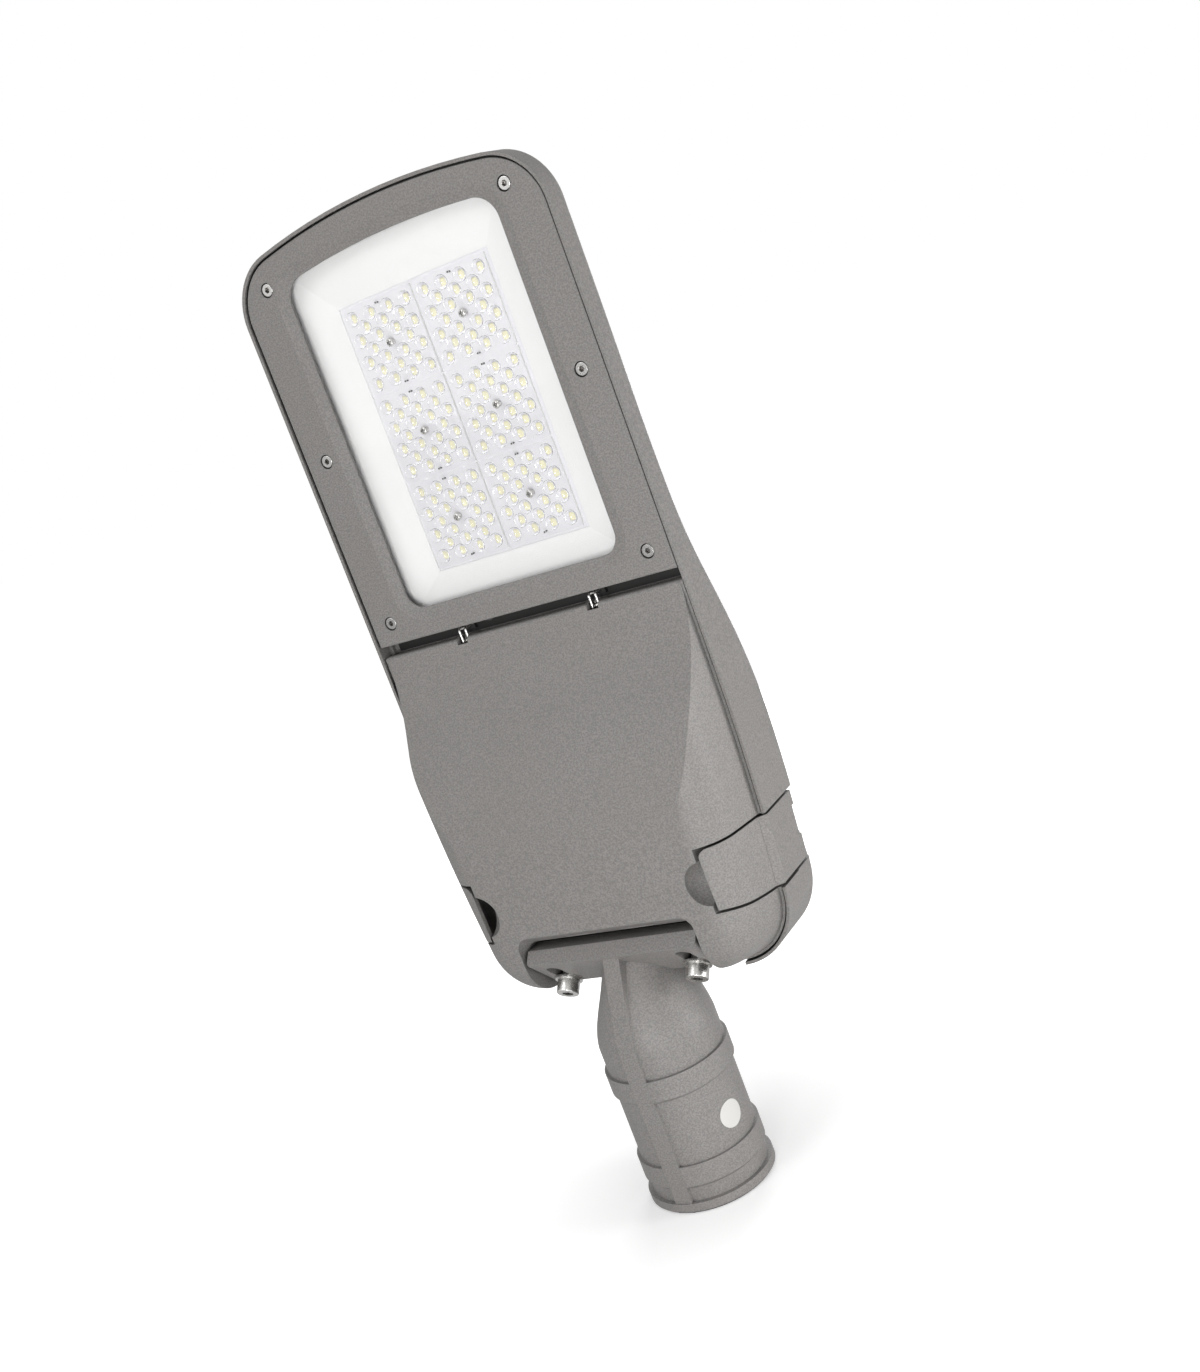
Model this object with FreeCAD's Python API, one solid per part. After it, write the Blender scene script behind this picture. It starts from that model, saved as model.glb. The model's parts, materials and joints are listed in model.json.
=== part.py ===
import FreeCAD, Part
import math
import os

# LED street light head for the end of a 60 mm pole, light facing down.
# Origin: middle of the pole socket's mouth. +Y runs along the lamp to its nose, +Z is up.
# All lengths are in millimetres and all angles in degrees.

# Outline of the housing in plan
HEAD_HALF_WIDTH = 104.8
NOSE_Y = 580.5
NOSE_R = 420.0
NOSE_CORNER_R = 34.0
TAPER_START_Y = 290.0
TAPER_R = 1305.0
REAR_Y = 120.0
REAR_CORNER_R = 41.8

# Back of the housing: height on the centre line at stations along Y, and the crown across it
BACK_PROFILE = [(600.0, 43.6), (545.0, 43.6), (470.0, 43.6), (390.0, 43.7), (362.0, 46.2),
                (335.0, 52.4), (312.0, 58.6), (288.0, 63.4), (262.0, 66.2), (232.0, 67.0),
                (185.0, 66.6), (100.0, 63.0)]
CROWN_R = 900.0
BACK_EDGE_R = 6.0
HOUSING_WALL = 4.0
BACK_WALL = 3.0
RIM_WALL = 1.8
SEAM_Z = 19.0
SEAM_GAP = 1.0

# Cooling fins on the back, over the lamp: height of their tips on the centre line
FIN_COUNT = 15
FIN_PITCH = 11.0
FIN_THICKNESS = 2.4
FIN_PROFILE = [(572.0, 42.0), (560.0, 46.5), (540.0, 52.5), (515.0, 54.0), (400.0, 54.0), (318.0, 54.0)]
FIN_CROWN_R = 260.0

# Bezel frame and glass
BEZEL_FACE_Z = 19.9
BEZEL_T = 3.6
BEZEL_EDGE_R = 0.8
BEZEL_REAR_Y = 346.0
OPENING_HALF_WIDTH = 72.3
OPENING_NOSE_Y = 559.5
OPENING_NOSE_R = 500.0
OPENING_NOSE_CORNER_R = 14.0
OPENING_REAR_Y = 362.0
OPENING_REAR_CORNER_R = 11.0
SLOPE_WIDTH = 7.0
SLOPE_DEPTH = 2.2
GLASS_T = 4.0
GLASS_OVERLAP = 6.0
GASKET_T = 1.0
GLASS_SIDE_GAP = 1.2
GLASS_RIB_T = 2.0
BEZEL_SCREWS = [(82.7, 555.6), (88.2, 457.2), (88.4, 358.5)]

# LED board, chips and lens plates
LIGHT_PLANE_Z = 34.5
ARRAY_Y = 455.0
CHIP_SIZE = 3.2
CHIP_T = 0.5
CHIP_PITCH = 12.5
MODULE_PITCH = 50.6
MODULES_ACROSS = 2
MODULES_ALONG = 3
ROW_COUNTS = [4, 3, 4, 2, 4, 3, 4]
BOARD_T = 1.6
BOARD_MARGIN = 4.4
LENS_PLATE_SIZE = 50.0
LENS_PLATE_T = 1.5
LENS_SKIRT_T = 1.5
LENS_DOME_R = 4.0
LENS_DOME_H = 2.2
LENS_STANDOFF = 2.0
LENS_PIN_R = 0.9
LENS_PIN_Y = 22.3

# White tray round the board
TRAY_T = 0.8
TRAY_MARGIN = 4.0
TRAY_GLASS_GAP = 0.9
TRAY_INNER_GAP = 1.4
TRAY_FLANGE = 1.2

# Gear cover: the lid below the rear half of the housing
COVER_FRONT_Y = 339.5
COVER_FACE_Z = -18.5
COVER_LEDGE_Z = 20.3
COVER_INSET = 4.2
COVER_DRAFT = 14.4
COVER_SHOULDER_R = 24.0
COVER_WALL = 3.0
SKIRT_TOP_Z = 27.0
COVER_LIP_R = 2.4
COVER_TOP_CHAMFER = 2.0
COVER_UNDERSIDE = [(337.1, 19.9), (322.0, 17.5), (305.0, 11.4), (290.0, 3.1), (270.0, -7.6),
                   (245.0, -15.6), (205.0, -18.9)]
COVER_UNDERSIDE_END_SLOPE = 0.03
CROSS_RIB_Y = 321.0
COVER_GASKET_T = 1.5
COVER_GASKET_GAP = 0.25
GASKET_INSET = 0.4

# Hinge of the gear cover
HINGE_Y = 336.7
HINGE_Z = 26.5
HINGE_X = 44.8
HINGE_PIN_R = 1.5
HINGE_PIN_LENGTH = 15.0
HINGE_LUG_T = 3.6
HINGE_LUG_R = 3.0
COVER_SWING = 60.0
HOOK_WIRE_R = 0.9
HOOK_SPREAD = 4.4
HOOK_LEG_Y = 344.0
HOOK_WRAP = 235.0
HOOK_BEND_R = 1.6
HOOK_BOSS_HALF_WIDTH = 6.0
HOOK_BOSS_Z = 28.5
HOOK_LEG_GRIP = 2.5
HOOK_SLOT_GAP = 0.25

# Hinge channel between the lamp space and the gear space
CHANNEL_TOP_Z = 31.5
DIVIDER_T = 4.0
SHELF_T = 2.5

# Side latches
LATCH_FRONT_Y = 204.7
LATCH_REAR_Y = 164.8
LATCH_END_X = 76.0
LATCH_T = 3.0
LATCH_GAP = 1.5
LATCH_SWEEP_R = 172.5
LATCH_PIN_X = 92.0
LATCH_PIN_Z = 54.5
LATCH_PIN_R = 2.0
LATCH_KNUCKLE_R = 6.4
LATCH_LUG_R = 4.0
LATCH_LUG_Y = (179.5, 195.5)
LATCH_ARM_TOP_Z = 52.0
LATCH_CREASE = 2.5
LATCH_CORNER_R = 5.0
POCKET_ROOF_Z = 40.0
POCKET_KNUCKLE_X = 82.0
FINGER_R = 13.0

# Cut-out of the cover round the spigot seat, with two blind slots in its front wall
CUTOUT_HALF_WIDTH = 58.5
CUTOUT_FRONT_Y = 169.5
CUTOUT_CORNER_R = 8.0
CUTOUT_SLOPE = 6.0
CUTOUT_KNEE_Z = -9.5
CUTOUT_SLOT_X = (8.5, 30.5)
CUTOUT_SLOT_Z = (-12.4, -10.0)
CUTOUT_SLOT_DEPTH = 1.6

# Spigot and its 45 degree seat
SOCKET_R = 30.5
SOCKET_DEPTH = 95.0
TUBE_R = 35.0
TUBE_END_Y = 98.0
RIM_R = 38.0
RIM_LENGTH = 6.0
RING_R = 37.0
RING_LENGTH = 14.5
RING_STARTS = [14.0, 68.5]
KEEL_HALF_WIDTH = 5.3
KEEL_RIDGE = [(96.0, -37.0), (109.0, -35.0), (130.5, -27.0), (152.0, -18.0)]
PLATE_CENTRE = (141.0, 5.5)
PLATE_ANGLE = 45.0
PLATE_HALF_WIDTH = 56.4
PLATE_HALF_LENGTH = 30.0
PLATE_T = 8.0
PLATE_CORNER_R = 8.0
PLATE_TOP_Y = 159.5
PAD_T = 9.9
PAD_SLOPE_Y = (-6.5, 26.4)
PAD_EDGE_R = 3.5
SPIGOT_GASKET_T = 1.0
SEAT_WALL = 6.0
NECK_SECTIONS = [(112.0, 31.0, 33.6, 1.4), (126.0, 25.0, 30.0, 4.4), (142.0, 20.0, 25.0, 9.0),
                 (162.0, 17.5, 20.0, 16.0)]
CABLE_HOLE_R = 14.0
NECK_PASSAGE_R = 15.0
BOLT_X = 43.5
BOLT_SLOPE_OFFSET = 2.0
BOLT_R = 4.0
BOLT_HEAD_R = 6.5
BOLT_HEAD_H = 8.0
BOLT_SOCKET_AF = 6.0
BOLT_LENGTH = 35.0
SLOT_HALF_WIDTH = 4.6
PAD_SLOT_END_Y = 21.4
PLATE_SLOT_END_Y = 13.0
WASHER_R = 8.0
WASHER_T = 1.6
STICKER_R = 8.0
STICKER_T = 0.25
STICKER_Y = 45.3
STICKER_ANGLE = 16.8
CLAMP_SCREW_YS = [38.0, 56.0]
CLAMP_SCREW_R = 4.0
CLAMP_BOSS_R = 8.0
CLAMP_BOSS_TOP = 42.0
CLAMP_SCREW_SINK = 1.0

# Fasteners
M4_R = 2.0
M4_HEAD_R = 3.5
M4_HEAD_H = 4.0
M4_SOCKET_AF = 3.0
M4_BORE_R = 4.1
M4_BORE_DEPTH = 4.5
M4_LENGTH = 12.0
BEZEL_BOSS_R = 6.0
HOUSING_BOSS_R = 5.0
M3_R = 1.5
M3_HEAD_R = 2.9
M3_HEAD_H = 1.7
M3_LENGTH = 8.0
FIT_GAP = 0.1
PRESS_GAP = 0.02
HOLE_END_GAP = 0.4
RUN_GAP = 0.08

# Gear inside
GEAR_TRAY = (-74.0, 66.0, 176.0, 300.0)
GEAR_TRAY_NARROW = 66.0
GEAR_TRAY_T = 1.2
GEAR_TRAY_Z = 50.0
GEAR_POSTS = [(-68.5, 214.0), (60.5, 214.0), (-68.5, 294.0), (60.5, 294.0)]
GEAR_POST_R = 4.5
DRIVER_SIZE = (60.0, 118.0, 33.0)
DRIVER_CORNER = (-63.0, 179.0)
DRIVER_CORNER_R = 3.0
DRIVER_FOOT = 4.0
DRIVER_FOOT_T = 2.0
SURGE_SIZE = (42.0, 52.0, 26.0)
SURGE_CORNER = (12.0, 240.0)
SURGE_CORNER_R = 2.0
TERMINAL_POLES = 5
TERMINAL_PITCH = 8.0
TERMINAL_HOLE_R = 2.2
TERMINAL_SIZE = (22.0, 18.0)
TERMINAL_CORNER = (12.0, 208.0)
CLAMP_BAR_SIZE = (34.0, 9.0, 7.0)
CLAMP_BAR_CORNER = (8.0, 181.0)
CABLE_R = 4.5
GLAND_Z = 40.0
GLAND_HOLE_R = 3.0
GLAND_HEX_AF = 10.0
GLAND_LENGTH = 12.0
GLAND_THREAD_R = 4.0
VENT_X = 26.0
VENT_Z = 27.8
VENT_R = 3.3
VENT_CAP_T = 1.6
VENT_STEM_R = 2.2
TRAY_SCREW_LENGTH = 6.0

X_AXIS = FreeCAD.Vector(1, 0, 0)
Y_AXIS = FreeCAD.Vector(0, 1, 0)
Z_AXIS = FreeCAD.Vector(0, 0, 1)
ORIGIN = FreeCAD.Vector(0, 0, 0)
FAR = 800.0
REAR_CLEAR = 20.0

BEZEL_INSET = RIM_WALL + SEAM_GAP
BEZEL_BACK_Z = BEZEL_FACE_Z + BEZEL_T
GLASS_FACE_Z = BEZEL_BACK_Z + GASKET_T
GLASS_BACK_Z = GLASS_FACE_Z + GLASS_T
BOARD_FACE_Z = LIGHT_PLANE_Z + CHIP_T
BOARD_BACK_Z = BOARD_FACE_Z + BOARD_T
LENS_BACK_Z = BOARD_FACE_Z - LENS_STANDOFF
LENS_FACE_Z = LENS_BACK_Z - LENS_PLATE_T
BORE_FLOOR_Z = BEZEL_FACE_Z + M4_BORE_DEPTH
BEZEL_BOSS_Z = GLASS_BACK_Z
ARRAY_HALF_WIDTH = MODULES_ACROSS * MODULE_PITCH / 2
ARRAY_HALF_LENGTH = MODULES_ALONG * MODULE_PITCH / 2
CHANNEL_REAR_Y = CROSS_RIB_Y + HOUSING_WALL
GASKET_SEAT_Z = SKIRT_TOP_Z + COVER_GASKET_T
LEDGE_TOP_Z = GASKET_SEAT_Z + COVER_WALL
NOTCH_X = LATCH_END_X - 2.0
NOTCH_FRONT_Y = LATCH_FRONT_Y + LATCH_GAP
NOTCH_REAR_Y = LATCH_REAR_Y - LATCH_GAP
GEAR_SPACE_Y = BEZEL_REAR_Y + 1.0


def vec(x, y, z):
    return FreeCAD.Vector(x, y, z)


def box(x0, x1, y0, y1, z0, z1):
    return Part.makeBox(x1 - x0, y1 - y0, z1 - z0, vec(x0, y0, z0))


def rod(start, direction, radius, length):
    return Part.makeCylinder(radius, length, start, direction)


def mirrored(shape):
    return shape.mirror(ORIGIN, X_AXIS)


def both_sides(shape):
    return [shape, mirrored(shape)]


def fused(shapes):
    whole = shapes[0].fuse(shapes[1:]) if len(shapes) > 1 else shapes[0]
    return whole.removeSplitter()


def outline(points):
    """Closed wire from right-hand (x, y) rows, mirrored to the left; rows of three are arcs."""
    right = []
    for row in points:
        ends = [vec(x, y, 0) for x, y in row]
        if len(ends) == 2:
            right.append(Part.makeLine(ends[0], ends[1]))
        else:
            right.append(Part.Arc(ends[0], ends[1], ends[2]).toShape())
    left = [mirrored(edge) for edge in right]
    return Part.Wire(Part.__sortEdges__(right + left))


def polar(centre, radius, angle):
    return (centre[0] + radius * math.cos(angle), centre[1] + radius * math.sin(angle))


def nose_rows(half, nose_y, nose_r, corner_r):
    """Nose arc and its corner on the right side, ending on the side at x = half."""
    nose_centre = (0.0, nose_y - nose_r)
    rise = math.sqrt((nose_r - corner_r) ** 2 - (half - corner_r) ** 2)
    corner = (half - corner_r, nose_centre[1] + rise)
    turn = math.atan2(rise, half - corner_r)
    meet = polar(nose_centre, nose_r, turn)
    nose_mid = polar(nose_centre, nose_r, (turn + math.pi / 2) / 2)
    corner_mid = polar(corner, corner_r, turn / 2)
    side = (half, corner[1])
    return [[(0.0, nose_y), nose_mid, meet], [meet, corner_mid, side]], side


def tail_rows(inset, start):
    """Side, taper, rear corner and rear edge of the housing's plan, pulled in by inset."""
    half = HEAD_HALF_WIDTH - inset
    taper_r = TAPER_R - inset
    taper_centre = (half - taper_r, TAPER_START_Y)
    corner_r = REAR_CORNER_R - inset
    corner_y = REAR_Y + REAR_CORNER_R
    drop = corner_y - TAPER_START_Y
    corner = (taper_centre[0] + math.sqrt((taper_r - corner_r) ** 2 - drop ** 2), corner_y)
    lean = math.atan2(drop, corner[0] - taper_centre[0])
    taper_end = polar(taper_centre, taper_r, lean)
    rear_end = (corner[0], REAR_Y + inset)
    return [[start, (half, TAPER_START_Y)],
            [(half, TAPER_START_Y), polar(taper_centre, taper_r, lean / 2), taper_end],
            [taper_end, polar(corner, corner_r, (lean - math.pi / 2) / 2), rear_end],
            [rear_end, (0.0, rear_end[1])]]


def plan_wire(inset, z):
    """The housing's plan outline, pulled in by inset, at height z."""
    rows, side = nose_rows(HEAD_HALF_WIDTH - inset, NOSE_Y - inset, NOSE_R - inset, NOSE_CORNER_R - inset)
    wire = outline(rows + tail_rows(inset, side))
    wire.translate(vec(0, 0, z))
    return wire


def plan_prism(inset, z0, z1):
    return Part.Face(plan_wire(inset, z0)).extrude(vec(0, 0, z1 - z0))


def gear_wire(inset, front_y, z):
    """The gear end's plan outline with a straight front edge."""
    half = HEAD_HALF_WIDTH - inset
    rows = [[(0.0, front_y), (half, front_y)]] + tail_rows(inset, (half, front_y))
    wire = outline(rows)
    wire.translate(vec(0, 0, z))
    return wire


def opening_wire(grow, z):
    """The bezel's window outline, grown on every side."""
    half = OPENING_HALF_WIDTH + grow
    rows, side = nose_rows(half, OPENING_NOSE_Y + grow, OPENING_NOSE_R + grow, OPENING_NOSE_CORNER_R + grow)
    rear_r = OPENING_REAR_CORNER_R + grow
    corner = (half - rear_r, OPENING_REAR_Y - grow + rear_r)
    rows += [[side, (half, corner[1])],
             [(half, corner[1]), polar(corner, rear_r, -math.pi / 4), (corner[0], OPENING_REAR_Y - grow)],
             [(corner[0], OPENING_REAR_Y - grow), (0.0, OPENING_REAR_Y - grow)]]
    wire = outline(rows)
    wire.translate(vec(0, 0, z))
    return wire


def opening_prism(grow, z0, z1):
    return Part.Face(opening_wire(grow, z0)).extrude(vec(0, 0, z1 - z0))


def side_prism(points, half_width):
    """Prism across the lamp from a (y, z) polygon."""
    corners = [vec(-half_width, y, z) for y, z in points]
    return Part.Face(Part.makePolygon(corners + corners[:1])).extrude(vec(2 * half_width, 0, 0))


def curve_edge(points, x, lift, end_slope=0.0):
    curve = Part.BSplineCurve()
    curve.interpolate(Points=[vec(x, y, z + lift) for y, z in points],
                      InitialTangent=vec(0, -1, 0), FinalTangent=vec(0, -1, -end_slope))
    return curve.toShape()


def crowned_form(points, drop, crown_r):
    """Everything below a crowned surface whose centre line follows points, lowered by drop."""
    top = curve_edge(points, 0, -drop)
    first = top.valueAt(top.FirstParameter)
    last = top.valueAt(top.LastParameter)
    axis_z = first.z + drop - crown_r
    low_first = vec(0, first.y, 0)
    low_last = vec(0, last.y, 0)
    face = Part.Face(Part.Wire([top, Part.makeLine(last, low_last), Part.makeLine(low_last, low_first),
                                Part.makeLine(low_first, first)]))
    reach = math.degrees(math.asin(1.25 * HEAD_HALF_WIDTH / crown_r))
    face.rotate(vec(0, 0, axis_z), Y_AXIS, -reach)
    return face.revolve(vec(0, 0, axis_z), Y_AXIS, 2 * reach)


def ruled(lower, upper):
    return Part.makeLoft([lower, upper], True, True)


def hexagon_prism(across_flats, height):
    corner_r = across_flats / math.sqrt(3)
    points = [vec(corner_r * math.cos(math.radians(60 * i)), corner_r * math.sin(math.radians(60 * i)), 0)
              for i in range(7)]
    return Part.Face(Part.makePolygon(points)).extrude(vec(0, 0, height))


def aimed(shape, position, direction):
    """Move a shape built along +Z from the origin so that it points along direction."""
    placed = shape.copy()
    placed.Placement = FreeCAD.Placement(position, FreeCAD.Rotation(Z_AXIS, direction))
    return placed


def socket_screw(radius, length, head_r, head_h, socket_af):
    """Socket head screw with its head's underside at the origin and its shank along +Z."""
    head = rod(vec(0, 0, -head_h), Z_AXIS, head_r, head_h)
    head = head.makeFillet(0.08 * head_h, [edge_at(head, 2, -head_h)])
    socket = hexagon_prism(socket_af, 0.5 * head_h)
    socket.translate(vec(0, 0, -head_h))
    return head.fuse(rod(ORIGIN, Z_AXIS, radius, length)).cut(socket)


def pan_screw(radius, length, head_r, head_h):
    """Pan head screw with its head's underside at the origin and its shank along +Z."""
    head = rod(vec(0, 0, -head_h), Z_AXIS, head_r, head_h)
    head = head.makeFillet(0.5 * head_h, [edge_at(head, 2, -head_h)])
    return head.fuse(rod(ORIGIN, Z_AXIS, radius, length))


def edge_at(shape, axis, value):
    """The longest edge whose bounds both lie at value on one axis."""
    found = []
    for edge in shape.Edges:
        bounds = edge.BoundBox
        low = (bounds.XMin, bounds.YMin, bounds.ZMin)[axis]
        high = (bounds.XMax, bounds.YMax, bounds.ZMax)[axis]
        if abs(low - value) < 0.01 and abs(high - value) < 0.01:
            found.append(edge)
    return max(found, key=lambda edge: edge.Length)


def edges_in_plane(shape, z):
    return [edge for edge in shape.Edges
            if abs(edge.BoundBox.ZMin - z) < 0.01 and abs(edge.BoundBox.ZMax - z) < 0.01]


# Spaces that the housing and the gear cover share


def latch_notch(grow):
    """Space for the right latch below the seam, grown on every side."""
    sweep_r = LATCH_SWEEP_R + LATCH_GAP + grow
    sweep = rod(vec(NOTCH_X - grow, HINGE_Y, HINGE_Z), X_AXIS, sweep_r, FAR)
    space = box(NOTCH_X - grow, FAR, HINGE_Y - sweep_r - 1.0, NOTCH_FRONT_Y + grow, COVER_FACE_Z - 5.0,
                GASKET_SEAT_Z + grow)
    return space.common(sweep)


def latch_pocket(grow):
    """Space for the right latch above the seam: finger room below, knuckle room above."""
    rear_y = HINGE_Y - (LATCH_SWEEP_R + LATCH_GAP) - grow
    front_y = NOTCH_FRONT_Y + grow
    lower = box(NOTCH_X - grow, FAR, rear_y, front_y, SEAM_Z - 1.0, POCKET_ROOF_Z + grow)
    upper = box(POCKET_KNUCKLE_X - grow, FAR, NOTCH_REAR_Y - grow, front_y, SEAM_Z, FAR)
    return lower.fuse(upper)


def cutout(grow):
    """Space of the cover's rear cut-out, whose front wall slopes up to a knee and then stands upright."""
    half = CUTOUT_HALF_WIDTH + grow
    corner_r = CUTOUT_CORNER_R + grow
    wires = []
    knee_y = CUTOUT_FRONT_Y - CUTOUT_SLOPE
    for z, front_y in ((COVER_FACE_Z, CUTOUT_FRONT_Y + grow), (CUTOUT_KNEE_Z, knee_y + grow)):
        corner = (half - corner_r, front_y - corner_r)
        wire = outline([[(0.0, front_y), (corner[0], front_y)],
                        [(corner[0], front_y), polar(corner, corner_r, math.pi / 4), (half, corner[1])],
                        [(half, corner[1]), (half, REAR_Y - REAR_CLEAR)],
                        [(half, REAR_Y - REAR_CLEAR), (0.0, REAR_Y - REAR_CLEAR)]])
        wire.translate(vec(0, 0, z))
        wires.append(wire)
    below = Part.Face(wires[0]).extrude(vec(0, 0, -1.0))
    above = Part.Face(wires[1]).extrude(vec(0, 0, GASKET_SEAT_Z - CUTOUT_KNEE_Z))
    return fused([ruled(wires[0], wires[1]), below, above])


def seat_shift(depth):
    """Value of y + z on the plane that lies depth inside the plate's outer face."""
    return PLATE_CENTRE[0] + PLATE_CENTRE[1] + depth * math.sqrt(2)


def on_plate(shape):
    """Place a shape built on the plate: local X across, Y down the slope, Z into the housing."""
    placed = shape.copy()
    placed.rotate(ORIGIN, X_AXIS, -PLATE_ANGLE)
    placed.translate(vec(0, PLATE_CENTRE[0], PLATE_CENTRE[1]))
    return placed


def plate_blank(z0, z1):
    """Round-cornered slab on the plate's plane, cut off square at its lower front edge."""
    slab = box(-PLATE_HALF_WIDTH, PLATE_HALF_WIDTH, -PLATE_HALF_LENGTH, PLATE_HALF_LENGTH + PLATE_T, z0, z1)
    corners = [edge for edge in slab.Edges if edge.BoundBox.ZLength > 0.5 * (z1 - z0)
               and edge.BoundBox.YMax < 0]
    slab = on_plate(slab.makeFillet(PLATE_CORNER_R, corners))
    return slab.common(box(-FAR, FAR, -FAR, PLATE_TOP_Y, -FAR, FAR))


def slot_prism(end_y, z0, z1):
    """Slot from the right bolt down the slope to a round end at end_y."""
    low_y = end_y - SLOT_HALF_WIDTH
    shapes = [box(BOLT_X - SLOT_HALF_WIDTH, BOLT_X + SLOT_HALF_WIDTH, BOLT_SLOPE_OFFSET, low_y, z0, z1)]
    for y in (BOLT_SLOPE_OFFSET, low_y):
        shapes.append(rod(vec(BOLT_X, y, z0), Z_AXIS, SLOT_HALF_WIDTH, z1 - z0))
    return on_plate(fused(shapes))


# Housing


def cooling_fins():
    envelope = crowned_form(FIN_PROFILE, 0.0, FIN_CROWN_R)
    fins = []
    for i in range(FIN_COUNT):
        x = (i - (FIN_COUNT - 1) / 2) * FIN_PITCH
        fin = box(x - FIN_THICKNESS / 2, x + FIN_THICKNESS / 2, 0, FAR, BOARD_BACK_Z + 1.0, FAR)
        fins.append(fin.common(envelope))
    return fins


def seat_block():
    """Wedge of the housing that carries the spigot, reaching down through the cover's cut-out."""
    outer = seat_shift(PLATE_T + SPIGOT_GASKET_T)
    inner = outer + SEAT_WALL * math.sqrt(2)
    wedge = side_prism([(outer - LEDGE_TOP_Z, LEDGE_TOP_Z), (PLATE_TOP_Y, outer - PLATE_TOP_Y),
                        (PLATE_TOP_Y, LEDGE_TOP_Z)], PLATE_HALF_WIDTH)
    top_y = REAR_Y + HOUSING_WALL
    sill = side_prism([(REAR_Y, outer - REAR_Y), (outer - GASKET_SEAT_Z, GASKET_SEAT_Z),
                       (inner - GASKET_SEAT_Z, GASKET_SEAT_Z), (top_y, inner - top_y),
                       (REAR_Y, inner - top_y)], CUTOUT_HALF_WIDTH + COVER_WALL)
    return wedge.fuse(sill)


def seat_hollow():
    """Cable room behind the seat, open to the gear space above."""
    plane = seat_shift(PLATE_T + SPIGOT_GASKET_T + SEAT_WALL)
    front_y = PLATE_TOP_Y - HOUSING_WALL
    top_z = LEDGE_TOP_Z + 1.0
    return side_prism([(plane - top_z, top_z), (front_y, plane - front_y), (front_y, top_z)],
                      PLATE_HALF_WIDTH - HOUSING_WALL)


def gear_space():
    """The sealed space above the gasket, less the walls round latches and seat."""
    ceiling = crowned_form(BACK_PROFILE, BACK_WALL, CROWN_R)
    low = plan_prism(HOUSING_WALL + COVER_WALL, GASKET_SEAT_Z - 1.0, LEDGE_TOP_Z)
    low = low.common(box(-FAR, FAR, 0, CROSS_RIB_Y, 0, FAR))
    high = plan_prism(HOUSING_WALL, LEDGE_TOP_Z, FAR)
    high_low_part = high.common(box(-FAR, FAR, 0, CROSS_RIB_Y, LEDGE_TOP_Z, FAR))
    high_top_part = high.common(box(-FAR, FAR, 0, GEAR_SPACE_Y, CHANNEL_TOP_Z + SHELF_T, FAR))
    shelf = box(-CUTOUT_HALF_WIDTH - COVER_WALL, CUTOUT_HALF_WIDTH + COVER_WALL, 0,
                CUTOUT_FRONT_Y + COVER_WALL, 0, LEDGE_TOP_Z)
    space = fused([low.cut(shelf), high_low_part, high_top_part]).common(ceiling)
    for pocket in both_sides(latch_pocket(COVER_WALL)):
        space = space.cut(pocket)
    return space


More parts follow.
